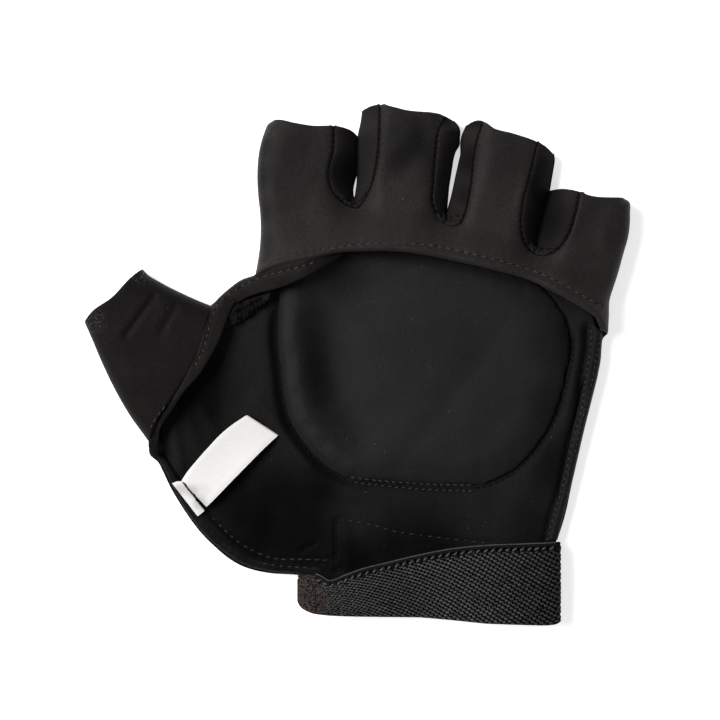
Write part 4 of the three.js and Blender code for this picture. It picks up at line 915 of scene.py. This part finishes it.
liningLook = {"wall": 1.2, "floor": 3.4, "least": 1.95, "groove": 2.25, "swell": 1.7, "wristStep": 2,
              "flap": 0.4, "sideSwell": 1.3, "step": 0.95, "soft": 0.12, "fine": 0.03, "ridge": 0.9,
              "ridgeAt": 1.7, "swellAt": 3.2, "belowRow": 0.5, "thinnest": 0.3}
liningRing = ringOf(flowing([
    (-24, 42), (-10, 46.5), (10, 47.2), (30, 43), (50, 35), (68, 27), (77.4, 15.5), (76.6, 4), (74, -5),
    (70.8, -19), (67, -37), (63.2, -53), (61.6, -58.6), (57, -64), (56, -73.5), (30, -74.4), (0, -74.4),
    (-6.4, -72), (-11, -69), (-16, -66.4), (-27, -65.2), (-36.4, -62.2), (-45.6, -55.4), (-53.2, -46),
    (-58.8, -36.2), (-62.6, -29.5), (-64, -22), (-58, -2), (-50.8, 14), (-44, 20.6), (-33, 25.8), (-28, 33),
    (-24, 42)]))
padRing = flowing([
    (-25.4, 26), (-26, 17.9), (-26.3, 8.1), (-25.4, 0.3), (-24.1, -11.4), (-22, -18.6), (-17.2, -26),
    (-10.4, -32.8), (-2.6, -37.1), (8.1, -38.7), (23.7, -39.9), (37, -40), (43, -38.9), (50.1, -35.4),
    (57.9, -27.9), (64.4, -17.6), (67.6, -8.1), (68.9, -1.6), (69.9, 2.6), (70.2, 8.1), (69.5, 11.4),
    (68.6, 15), (66.6, 18.2), (62.6, 23.4), (54, 30.2), (41, 36), (24, 40.2), (6, 40.8), (-10, 38.5),
    (-20.5, 33.5), (-25.4, 26)])
liningFolds = [
    ((-46.5, 2), (-44, -14), 3.4, -0.8), ((-32.5, -12), (-15.5, -32), 2.4, 1.1),
    ((-20, -31), (-13, -40), 3.4, 0.5), ((-50, -15), (-47, -22), 2.6, 1), ((-56, -14), (-53, -24), 2.6, 0.9),
    ((-59.6, -21), (-57.6, -33), 2, 1.1), ((-52, -24), (-43, -30), 3.4, -0.5), ((-50, -46), (-36, -53), 6, 1),
    ((-30, -34), (-20, -48), 6, 0.6), ((-10, -42), (-2, -47), 3.6, -0.5), ((10, -47), (50, -48), 5, 1),
    ((-18.2, -60.8), (-13.8, -58.3), 0.8, -0.8), ((-17.4, -61.6), (-13, -59.2), 0.9, 0.12),
    ((60, -30), (52, -44), 4, 0.7), ((72.5, 14), (66.5, 23), 2.2, -0.8)]
wristGroove = flowing([(-6.8, -50.4), (-6.8, -58), (-6.9, -67.4)])
wristRow = flowing([(-6.2, -50.4), (2.9, -51.7), (12.7, -54.3), (24.1, -55.9), (34.8, -57.2), (44, -58.2)])
rollRow = flowing([(-49.4, -47.5), (-46.8, -50.1), (-42.6, -54.3), (-38.4, -57.9), (-33.5, -60.7), (-30.6, -62),
                   (-27, -63.1), (-19.5, -63.3), (-8.1, -63.7)])
rightSeamLine = flowing([(75.4, 12), (75.1, 4.9), (74.4, 0.7), (73.3, -5.9), (71.9, -15.6), (69.4, -24.1),
                         (66.2, -39.3), (62.9, -50.1), (61.1, -57.5)])


def liningTop(points):
    look = liningLook
    x, y = points.T
    height = look["floor"] + foldsAt(points, liningFolds)
    height += look["soft"] * waver(points, 11, 61) + look["fine"] * waver(points, 3.4, 62)
    away, along = nearLine(points, padRing)[:2]
    # the lining swells beside the pad on the thumb side, and drops into the groove at its foot
    swell = hump(away - look["swellAt"], np.where(away < look["swellAt"], 1.3, 8))
    height += look["swell"] * swell * smoothStep(along, 4, 14) * (1 - smoothStep(along, 66, 86))
    groove = hump(away, 1.2)
    height = height * (1 - groove) + look["groove"] * groove + look["wristStep"] * smoothStep(-y, 46, 57)
    # a low ridge between the roll and its stitches, and the raised flap of the wrist opening
    row, _, side = nearLine(points, rollRow)
    height += np.where(side < 0, look["ridge"] * hump(row - look["ridgeAt"], 1.2), 0)
    height += sewnAt(points, rollRow, groove=0.7, width=0.9, pucker=0.12, pitch=2.6)
    height += sewnAt(points, wristGroove, groove=1, width=0.6, pucker=0.08, pitch=2.6)
    height += look["flap"] * hump(x + 3.6, 1.9) * smoothStep(-y, 49.5, 53)
    height += sewnAt(points, wristRow, groove=0.6, width=0.8, pucker=0.04, pitch=3.2)
    away, _, side = nearLine(points, wristRow)
    height -= look["belowRow"] * smoothStep(-side * away, 0.2, 2.5) * (x > -6) * (y < -50)
    edge = gapTo(points, rightSeamLine)
    height += look["sideSwell"] * hump(edge - look["swellAt"], 1.9) * smoothStep(y, -34, -6) - hump(edge, 0.8)
    return np.where(isInside(points, padRing), look["groove"], height)


def liningWall(points):
    return np.clip(liningTop(points) - liningLook["least"], liningLook["thinnest"], liningLook["wall"])


liningPiece = clothBody("palm_lining", liningRing, liningTop, liningWall, liningCloth, liningLook["step"],
                        rows=(0.1, 0.4, 1))
declareCloth(liningPiece, "shell_lining", "lining_cloth", (0.145, 0.125), 0.0138, "laid", ["back_shell"])
print("lining ready")

# raised foam pad


padLook = {"foot": 2.35, "step": 1.1, "soft": 0.1, "voxel": 1.5, "pressure": 5, "tension": 12, "bending": 4,
           "frames": 20, "mostRise": 0.8, "workScale": 20,
          "quality": 5, "footBand": 1, "smooth": 0.5, "smoothTimes": 3,
          # distances from the outline and heights there, on the side with the rolled edge and on the plain side
          "rolledAway": [0, 0.15, 0.4, 0.8, 1.6, 3, 5, 8.5, 13, 18, 24, 32, 44],
          "rolledHigh": [1.2, 3.4, 4.3, 4.8, 5.15, 5.3, 5.2, 4.6, 3.7, 3.3, 3.7, 4.8, 5.8],
          "plainAway": [0, 0.25, 0.8, 1.8, 3.4, 6.4, 12, 24, 44],
          "plainHigh": [0.7, 1.3, 2, 2.8, 3.5, 4.3, 5, 5.6, 5.9]}
padFolds = [((46, 10), (16, -30), 3.4, -0.3), ((52, 4), (24, -34), 3.4, 0.12), ((34, 10), (10, -26), 4.6, 0.14),
            ((60, 18), (64, -6), 3, -0.2), ((20, 20), (14, 6), 5, -0.15), ((52, -12), (40, -26), 2.6, -0.18)]


def padTop(points, away):
    rolledShare = 1 - smoothStep(points[:, 0], -6, 24)  # the rolled edge stands up on the thumb side
    rolledHeight = curveAt(away, padLook["rolledAway"], padLook["rolledHigh"])
    plainHeight = curveAt(away, padLook["plainAway"], padLook["plainHigh"])
    return padLook["foot"] + rolledHeight * rolledShare + plainHeight * (1 - rolledShare)


knucklePad = pillowBody("knuckle_foam", ringOf(padRing[:-1], step=0.9), padTop, padLook["foot"], padCloth,
                        padLook["step"], (0.3, 0.8, 1.5, 2.5, 3.6))


def meshNow(piece):  # the mesh as its modifiers leave it
    bpy.context.view_layer.update()
    return bpy.data.meshes.new_from_object(piece.evaluated_get(bpy.context.evaluated_depsgraph_get()))


def pointsOf(mesh):
    return np.array([v.co for v in mesh.vertices])


# the pad's jersey is blown up over its foam at twenty times its size, then brought back
def puffUp(piece, look):
    big = look["workScale"]
    scene = bpy.context.scene
    work = bpy.data.objects.new(piece.name + "_work", piece.data.copy())
    scene.collection.objects.link(work)
    for v in work.data.vertices:
        v.co *= big
    bpy.context.view_layer.objects.active = work
    remesh = work.modifiers.new("remesh", "REMESH")
    remesh.mode = "VOXEL"
    remesh.voxel_size = look["voxel"] * mm * big
    bare = meshNow(work)
    work.modifiers.clear()
    work.data = bare
    start = pointsOf(bare)
    held = work.vertex_groups.new(name="foot")
    low = start[:, 2] < (look["foot"] + look["footBand"]) * mm * big
    held.add([int(i) for i in np.nonzero(low)[0]], 1, "REPLACE")
    cloth = work.modifiers.new("cloth", "CLOTH")
    cloth.settings.use_pressure = True
    cloth.settings.uniform_pressure_force = look["pressure"]
    cloth.settings.vertex_group_mass = "foot"
    cloth.settings.effector_weights.gravity = 0
    cloth.settings.quality = look["quality"]
    cloth.settings.tension_stiffness = look["tension"]
    cloth.settings.bending_stiffness = look["bending"]
    cloth.point_cache.frame_start = 1
    cloth.point_cache.frame_end = look["frames"]
    for number in range(1, look["frames"] + 1):
        scene.frame_set(number)
    blown = meshNow(work)
    move = pointsOf(blown) - start
    scene.frame_set(1)
    size = np.linalg.norm(move, axis=1)
    move *= (np.minimum(size, look["mostRise"] * mm * big) / np.maximum(size, 1e-9))[:, None]
    blown.vertices.foreach_set("co", ((start + move) / big).ravel())
    blown.update()
    bpy.data.objects.remove(work)
    blown.materials.clear()
    blown.materials.append(piece.data.materials[0])
    piece.data = blown
    smooth = piece.modifiers.new("smooth", "SMOOTH")
    smooth.factor, smooth.iterations = look["smooth"], look["smoothTimes"]
    divide = piece.modifiers.new("divide", "SUBSURF")
    divide.levels = divide.render_levels = 1
    done = meshNow(piece)
    piece.modifiers.clear()
    piece.data = done
    print("pad blown up, most movement", round(float(size.max()) / big / mm, 2), "mm")


puffUp(knucklePad, padLook)
places = pointsOf(knucklePad.data) / mm
plan = places[:, :2]
upper = smoothStep(places[:, 2], padLook["foot"] + 1.5, padLook["foot"] + 3.5)
inward = smoothStep(gapTo(plan, padRing), 1, 6)
places[:, 2] += upper * inward * (foldsAt(plan, padFolds) + padLook["soft"] * waver(plan, 11, 71))
knucklePad.data.vertices.foreach_set("co", (places * mm).ravel())
shadeSmooth(knucklePad.data)
declare(knucklePad, "pad_cloth", "knuckle_pad")
print("pad ready")

# rolled edge from the thumb to the wrist


rollLook = {"width": 4.2, "low": 2.6, "top": 6, "pucker": 0.035, "pitch": 2.6, "uneven": 0.05,
            "thinStart": 0.45}
rollCentre = flowing([
    (-66, -27.4), (-64.4, -29.6), (-62.2, -32.8), (-59, -38.6), (-55.2, -44.6), (-50, -51.6), (-45, -56.8),
    (-40, -60.8), (-34.7, -63.6), (-28.6, -65.1), (-20, -65.9), (-10.6, -66.6)], 0.5)
run = lengthsAlong(rollCentre)
ends = rounded(np.maximum(np.minimum(run, run[-1] - run) / 2, 0.05))
twist = (1 + rollLook["uneven"] * waver(rollCentre, 7, 81)
         + rollLook["pucker"] * np.cos(run * 2 * math.pi / rollLook["pitch"]))
# it starts thin, under the end of the thumb
twist *= rollLook["thinStart"] + (1 - rollLook["thinStart"]) * smoothStep(run, 2, 26)
halfHigh = (rollLook["top"] - rollLook["low"]) / 2
rollLine = np.column_stack([rollCentre, np.full(len(rollCentre), rollLook["low"] + halfHigh)])
rollTube = tubeAlong(rollLine, rollLook["width"] / 2 * ends * twist, halfHigh * ends * twist, 16)
edgeRoll = joined("rolled_edge", [rollTube], backCloth)
declare(edgeRoll, "back_cloth", "edge_binding")
print("rolled edge ready")

# side turned over to the palm


sideLook = {"wall": 1.6, "rise": 3.6, "lip": 0.4, "seam": 1.4, "groove": 0.55, "step": 0.6, "pucker": 0.12,
            "pitch": 2.4, "uneven": 0.08, "round": 2.8}
sideInner = flowing([(75.3, 14.6), (75.9, 9.1), (75.6, 4.9), (74.9, 0.7), (73.8, -5.9), (72.3, -15.6),
                     (69.8, -24.1), (66.6, -39.3), (63.3, -50.1), (61.6, -57.2)])
sideOuter = flowing([(80.2, 10.4), (79.7, 7), (79.4, 2), (78.5, -3), (76.7, -10.4), (74.4, -19.5),
                     (70.2, -37.6), (66.4, -53), (65.4, -57)])
sideGroove = flowing([(78.4, 8), (77.6, 3.5), (76.4, -3), (74.8, -10), (72.2, -20), (70.6, -28)])


def sideTop(points):
    look = sideLook
    outer, along = nearLine(points, sideOuter)[:2]
    rise = np.interp(along, [0, 30, 70], [1, 0.85, 0.45]) * look["rise"]
    height = sideHeight + look["lip"] + rise * rounded(outer / look["round"], 2.2)
    puckers = look["pucker"] * np.cos(2 * math.pi * along / look["pitch"])
    height -= look["seam"] * hump(gapTo(points, sideInner), 0.9) - puckers
    height -= look["groove"] * hump(gapTo(points, sideGroove), 0.5)
    return height + look["uneven"] * waver(points, 4, 91)


sideRing = ringOf(sideInner, [sideInner[-1], sideOuter[-1]], sideOuter[::-1], [sideOuter[0], sideInner[0]],
                  step=0.6)
sidePiece = clothBody("turned_side", sideRing, sideTop, sideLook["wall"], sideCloth, sideLook["step"],
                      rows=(0.06, 0.25, 0.6, 1.1))
declareCloth(sidePiece, "side_edge", "back_cloth", (0.075, 0.010), 0.0004, "folded", ["back_shell"])
print("side ready")

# elastic wrist band


bandLook = {"wall": 1.5, "high": 12.4, "wide": 27, "step": 0.36, "ribs": 17, "ribLean": 0.4, "ribDepth": 0.32,
            "ribSlant": 0.4, "ribCurve": 1.8, "notch": 0.1, "softTurns": 14,  # how often the turns are softened
            "bead": 1.15, "border": 2.2, "borderDip": 0.35, "borderLine": 0.95, "wave": 0.3, "cord": 0.21,
            "cordSunk": 0.16}
bandRows = np.array([  # x, upper edge in front, upper edge behind, lower edge, share of the half height
    (-19, -68.4, -68.4, -76.6, 0), (-18.2, -68, -68.6, -79, 0.45), (-14.8, -67.8, -69, -80.6, 0.82),
    (-12.2, -68.2, -69.4, -80.9, 0.9), (-9.1, -69.9, -69.8, -81.2, 0.97), (-4, -68.1, -67, -81.4, 1),
    (1.3, -66.2, -64, -81.5, 1), (8.5, -64.4, -61.5, -81.6, 1), (20.5, -61.5, -59.8, -81.7, 1),
    (30.6, -59.6, -59.2, -82.6, 1), (41.9, -58.5, -58.9, -83.8, 1), (53.6, -58, -58.7, -84.2, 1),
    (61, -57.7, -58.6, -84.4, 0.97), (64.8, -57.5, -57.9, -84.2, 0.68), (66, -57.4, -57.4, -83.6, 0)])


def bandLoop():
    half = (bandLook["high"] - bandLook["wall"]) / 2
    front = [(x, half * lift, top, low) for x, top, behind, low, lift in bandRows]
    back = [(x, -half * lift, behind, low) for x, top, behind, low, lift in bandRows[1:-1][::-1]]
    ring = np.array(front + back + front[:1])
    run = lengthsAlong(ring[:, :2])
    fine = np.linspace(0, run[-1], int(run[-1] / 0.4) + 1)
    dense = np.column_stack([np.interp(fine, run, ring[:, k]) for k in range(4)])[:-1]
    for _ in range(bandLook["softTurns"]):
        dense = (np.roll(dense, 1, axis=0) + 2 * dense + np.roll(dense, -1, axis=0)) / 4
    dense = np.roll(dense, len(dense) // 4, axis=0)  # the ends meet on the side that lies down
    return evenly(np.vstack([dense, dense[:1]]), bandLook["step"])[:-1]


def ribHigh(rib, bead):
    along = np.mod(bead + 0.5 * np.floor(rib), 1)
    gap = 2 * np.abs(np.mod(rib + bandLook["ribSlant"] * (along - 0.5), 1) - 0.5)
    return (1 - gap ** bandLook["ribCurve"]) * (1 - bandLook["notch"] * (2 * np.abs(along - 0.5)) ** 4)


def wristBand():
    look = bandLook
    loop = bandLoop()
    x, height, top, low = loop.T
    ahead = np.roll(loop, -1, axis=0) - np.roll(loop, 1, axis=0)
    outward = unit(np.column_stack([-ahead[:, 1], ahead[:, 0]]))
    rowCount = int(look["wide"] / look["step"])
    rough = look["ribDepth"] * (0.06 + 0.94 * smoothStep(x, -11, 8))
    outer, inner, ribs = [], [], []
    for share in np.arange(rowCount + 1) / rowCount:
        fromTop = (top - low) * share
        full = rounded(np.minimum(share, 1 - share) * (top - low) / 0.75)
        rib = look["ribs"] * share - look["ribLean"] * x
        bead = x / look["bead"] + 0.6 * share
        border = fromTop < look["border"]
        dip = look["borderDip"] * hump(fromTop - look["borderLine"], 0.4)
        sunk = np.where(border, dip, rough * (1 - ribHigh(rib, bead)))
        wave = look["wave"] * np.sin(x / 10 + share * 3) * smoothStep(height, 0, 3) * (4 * share * (1 - share))
        base = loop[:, :2] + outward * wave[:, None]
        for rows, aside in ((outer, (look["wall"] / 2 - sunk) * full), (inner, -look["wall"] / 2 * full)):
            across, up = (base + outward * aside[:, None]).T
            rows.append(np.column_stack([across, top - fromTop, look["high"] / 2 + up]))
        ribs.append(np.column_stack([np.where(border, 0, rib), bead]))
    count = len(loop)
    columns = np.arange(count)
    after = (columns + 1) % count

    def quads(first, second):
        first, second = first * count, second * count
        return np.column_stack([first + columns, second + columns, second + after, first + after])

    innerRows = [0, *range(rowCount + 1, 2 * rowCount), rowCount]
    faces = []
    for row in range(rowCount):
        faces.append(quads(row, row + 1))
        faces.append(quads(innerRows[row], innerRows[row + 1])[:, [0, 3, 2, 1]])
    band = meshFrom("elastic_band", np.vstack(outer + inner[1:-1]), np.vstack(faces), elasticYarn)
    corners = np.zeros(len(band.data.loops), int)
    band.data.loops.foreach_get("vertex_index", corners)
    ribs = np.vstack(ribs + ribs[1:-1])
    band.data.uv_layers.new(name="ribs").data.foreach_set("uv", ribs[corners].ravel())
    return band


def bandFrontTop(points):
    lift = np.interp(points[:, 0], bandRows[:, 0], bandRows[:, 4])
    return bandLook["high"] / 2 + (bandLook["high"] - bandLook["wall"]) / 2 * lift + bandLook["wall"] / 2


wristPiece = wristBand()
bandEdge = flowing([(-13.4, -67.8), (-12.2, -68.1), (-9.1, -69.8), (-3.9, -68.1), (1.3, -66.2), (8.5, -64.4),
                    (20.5, -61.5), (30.6, -59.6), (41.9, -58.5), (53.6, -58), (64.6, -57.6)], 0.6)
cordHeight = bandFrontTop(bandEdge) - bandLook["cordSunk"]
# a flat near-black strip just below the cord, painted as its shadow
cordShadow = tubeAlong(np.column_stack([bandEdge - (0, 0.62), cordHeight + 0.13]), 0.42, 0.12, 8)
cordTube = tubeAlong(np.column_stack([bandEdge + (0, 0.1), cordHeight]), bandLook["cord"], bandLook["cord"])
overlock = stitchRow(bandEdge - (0, 1.6), above(bandFrontTop, -0.1), pitch=2.4, long=1.8, thick=0.75, slant=32,
                     sunk=0.12)
wristExtras = [
    joined("wrist_cord_painted_shadow", [cordShadow], shadeDarkThread), joined("wrist_edge_cord", [cordTube], edgeCord),
    joined("wrist_overlock", overlock, overlockYarn)]
for piece in wristExtras:
    declare(piece, "elastic")
declareCloth(wristPiece, "wrist_band", "elastic", (0.186, 0.027), 0.0039, "stretched", ["back_shell"],
             with_pieces=wristExtras)
print("wrist band ready")

# ribbon label, left bare


labelLook = {"wall": 0.4, "leafGap": 1.4, "cup": 0.35, "columns": 19, "seamHeight": 7.4, "edgeSquare": 16,
             "bendSteps": 8}
labelUpper = [(-57.1, -37.7, 7), (-56, -35.9, 7.3), (-52.2, -31.1, 7.7), (-48.1, -26.5, 7.75),
              (-44, -22.2, 7.6), (-40.3, -19.2, 7.2), (-36.5, -16.7, 6.7)]
labelLower = [(-49, -46.2, 6.9), (-46.8, -44.1, 7.2), (-41.5, -38.6, 7.5), (-36.5, -33.5, 7.5),
              (-31.2, -28.1, 7.3), (-28.8, -25.8, 7), (-26.2, -23.4, 6.5)]
tailUpper = [(-57, -37.8, 6.85), (-59, -38, 6.5), (-61, -39, 6.3)]
tailLower = [(-49.6, -47.4, 6.5), (-51, -48.6, 6.4), (-52.2, -49.5, 6.3)]
labelRow = [(-56.6, -38), (-54.9, -40.4), (-53.2, -42.2), (-51.6, -44.6), (-49.4, -46.9)]


# a ribbon between its two long edges, its own thickness on both sides of them
def ribbonBody(upper, lower, cup):
    columns, wall = labelLook["columns"], labelLook["wall"]
    shares = np.linspace(0, 1, columns)[None, :, None]
    middle = upper[:, None] * (1 - shares) + lower[:, None] * shares
    middle[:, :, 2] += cup[:, None] * (2 * shares[..., 0] - 1) ** 2
    normal = unit(np.cross(np.gradient(middle, axis=1), np.gradient(middle, axis=0)))
    rim = np.sqrt(np.clip(1 - np.abs(2 * shares - 1) ** labelLook["edgeSquare"], 0, 1)) * wall / 2
    places = np.vstack([(middle + normal * rim).reshape(-1, 3), (middle - normal * rim).reshape(-1, 3)])
    rows = len(middle)
    under = rows * columns  # the lower face's points follow the upper face's
    faces = []
    for row in range(rows - 1):
        start = row * columns
        for a in range(start, start + columns - 1):
            faces.append((a, a + 1, a + columns + 1, a + columns))
            faces.append((a + under, a + under + columns, a + under + columns + 1, a + under + 1))
        b = start + columns - 1
        faces.append((start, start + columns, start + under + columns, start + under))
        faces.append((b, b + under, b + under + columns, b + columns))
    for a in range(columns - 1):
        b = a + under - columns
        faces.append((a, a + under, a + under + 1, a + 1))
        faces.append((b, b + 1, b + under + 1, b + under))
    return places, faces


def foldedLabel():
    lines = flowing(labelUpper, 0.7), flowing(labelLower, 0.7)
    count = min(map(len, lines))
    gap = labelLook["leafGap"]
    angles = np.linspace(0, math.pi, labelLook["bendSteps"])[1:-1]
    bends = []
    for line in lines:
        at = np.linspace(0, len(line) - 1, count)
        line = np.column_stack([np.interp(at, np.arange(len(line)), column) for column in line.T])
        way = unit((line[-1] - line[-2]) * (1, 1, 0))
        bend = [line[-1] + way * gap / 2 * math.sin(a) - (0, 0, gap / 2 * (1 - math.cos(a))) for a in angles]
        bends.append(np.vstack([line, bend, line[::-1] - (0, 0, gap)]))
    arch = np.sin(np.linspace(0, math.pi, count))
    return ribbonBody(*bends, labelLook["cup"] * np.concatenate([arch, np.zeros(len(angles) + count)]))


tail = ribbonBody(flowing(tailUpper, 0.5)[:8], flowing(tailLower, 0.42)[:8], np.zeros(8))
labelPiece = joined("ribbon_label", [foldedLabel(), tail], satinRibbon)
labelSeam = joined("label_seam", stitchRow(labelRow, level(labelLook["seamHeight"]), pitch=1.5, long=1.5,
                                           thick=0.46, slant=16, sunk=0.05, uneven=0.3), shadeDarkThread)
declare(labelSeam, "ribbon")
declareCloth(labelPiece, "size_label", "ribbon", (0.08, 0.013), None, "folded",
             ["shell_lining", "edge_binding"])
print("label ready")

# stitches on the finished pieces


def padEdgeTop(points):
    return padTop(points, gapTo(points, padRing)) + 0.1


liningAbove = above(liningTop, 0.3)
# dark bodies painted as the shade in the needle holes
holeShades = []
threadPieces = [
    ("palm_stitches", blackThread, "palm_cloth", [
        stitchRow(hemRow[22:-2], fingerTop, holeShades, pitch=2.85, thick=0.5, slant=-9, hole=0.8),
        stitchRow(fingerFacingRow, fingerFacingTop, holeShades, pitch=2.6, long=1.7, thick=0.44, hole=0.9)]),
    ("finger_seam_stitches", shadeDarkThread, "gusset_cloth", [
        stitchRow(seam, fingerTop, pitch=1.9, long=1.6, thick=0.5, slant=12, uneven=0.25)
        for seam in gussetSeams.values()]),
    ("thumb_stitches", blackThread, "palm_cloth", [
        stitchRow(thumbFacingRow, thumbFacingTop, holeShades, pitch=2.5, long=1.6, thick=0.44, hole=0.9),
        stitchRow([(-61.8, -13), (-64.7, -16.7), (-66.6, -20)], thumbTop, holeShades, pitch=2.4, long=1.7,
                  thick=0.4),
        stitchRow([(-69.2, 30.2), (-69.9, 28.6)], thumbTop, pitch=1.2, long=1),
        stitchRow([(-84, 15.4), (-85, 13.4)], thumbTop, pitch=1.2, long=1)]),
    ("side_stitches", blackThread, "back_cloth", [
        stitchRow(rightSeamLine + (0.9, 0), sideTop, holeShades, pitch=2.1, long=1.3, thick=0.34, hole=0.7),
        stitchRow(sideGroove + (0.5, 0), sideTop, holeShades, pitch=2, long=1.1, thick=0.26, hole=0.5)]),
    ("lining_stitches", blackThread, "lining_cloth", [
        stitchRow([(-1.3, -38.3), (10.7, -39.7), (23.7, -40.7), (38, -41.2)], liningAbove, holeShades, pitch=2.2,
                  long=1.7, thick=0.46, slant=14),
        stitchRow([(-2.3, -36.5), (10.4, -38), (23.7, -38.9), (37, -39.2)], padEdgeTop, holeShades, pitch=2.2,
                  long=1.7, thick=0.46, slant=-8),
        stitchRow(rollRow, liningTop, holeShades, pitch=2.7, long=1.8, thick=0.4, hole=0.8),
        stitchRow([(-31.2, -64.4), (-24.1, -65.5), (-15.3, -65.9)], level(5.9), pitch=2.6, long=1.6,
                  thick=0.34),
        stitchRow(wristRow, liningTop, holeShades, pitch=2.9, long=1.6, thick=0.34, hole=0.9)]),
    ("pad_foot_stitches", shadeDarkThread, "lining_cloth", [
        stitchRow([(-22.6, -18.2), (-17.8, -26.2), (-10.9, -33.3), (-3.6, -37.4)], liningAbove, pitch=2.3,
                  long=1.5, thick=0.38),
        stitchRow([(38.2, -40.4), (43.2, -39.3), (50.4, -35.8), (58.2, -28.2), (64.75, -17.8), (68, -8.1),
                   (70.3, 2.6), (70.6, 8.3)], liningAbove, pitch=2.2, long=1.6, thick=0.5),
        stitchRow(wristGroove, liningAbove, pitch=2.2, long=1.5, thick=0.4),
        stitchRow([(-39.6, 15.2), (-35, 18.6), (-30.4, 21.4)], allowanceTop, pitch=1.6, long=1.4, thick=0.5,
                  slant=60)]),
    ("needle_hole_painted_shade", shadeDarkThread, "palm_cloth", [holeShades]),
    ("web_overlock", shadeDarkThread, "facing_cloth", [
        stitchRow([(-40.4, 13.4), (-37.6, 14.9), (-34.6, 17.2), (-31.3, 19.6), (-28.9, 21.9)], allowanceTop,
                  pitch=1.7, long=1.7, thick=0.55, slant=55),
        stitchRow([(-39.8, 16.4), (-35.4, 19.6), (-30.6, 22.2)], allowanceTop, pitch=1.7, long=1.5, thick=0.5,
                  slant=-40)])]
for name, thread, slot, rows in threadPieces:
    declare(joined(name, sum(rows, []), thread), slot)
print("stitches ready")

# floor, light and camera


studio = {"camera": (0.00098, 0.00163, 0.95), "view": 0.2345, "aimHeight": 0.006, "sky": 0.24, "floorGlow": 0.6,
          "floor": (0.93, 0.93, 0.93), "floorRough": 0.9, "floorSize": 6, "floorDrop": 0.0002}
lamps = {"key": ((-1.55, 0.55, 1.95), 1.3, 78), "fill": ((0.9, -0.5, 1.1), 1.2, 2)}  # place, size, power


def inScene(name, data, place):
    thing = bpy.data.objects.new(name, data)
    thing.location = place
    bpy.context.scene.collection.objects.link(thing)
    return thing


bpy.ops.mesh.primitive_plane_add(size=studio["floorSize"], location=(0, 0, -studio["floorDrop"]))
floor = bpy.context.object
floor.name = "pale_floor"
paint = bpy.data.materials.new("pale floor")
paint.use_nodes = True
feed(paint.node_tree.nodes["Principled BSDF"], {
    "Base Color": studio["floor"], "Roughness": studio["floorRough"], "Emission Color": (1, 1, 1),
    "Emission Strength": studio["floorGlow"]})
floor.data.materials.append(paint)
for name, (place, size, power) in lamps.items():
    light = bpy.data.lights.new(name, "AREA")
    light.size = size
    light.energy = power
    inScene(name, light, place).rotation_euler = (-Vector(place)).to_track_quat("-Z", "Y").to_euler()
world = bpy.data.worlds.new("soft sky")
world.use_nodes = True
feed(world.node_tree.nodes["Background"], {"Color": (1, 1, 1), "Strength": studio["sky"]})
bpy.context.scene.world = world
lens = bpy.data.cameras.new("camera")
lens.sensor_width = 36
lens.lens = lens.sensor_width * (studio["camera"][2] - studio["aimHeight"]) / studio["view"]
bpy.context.scene.camera = inScene("camera", lens, studio["camera"])
bpy.context.scene.view_settings.view_transform = "Standard"
print("stage ready")
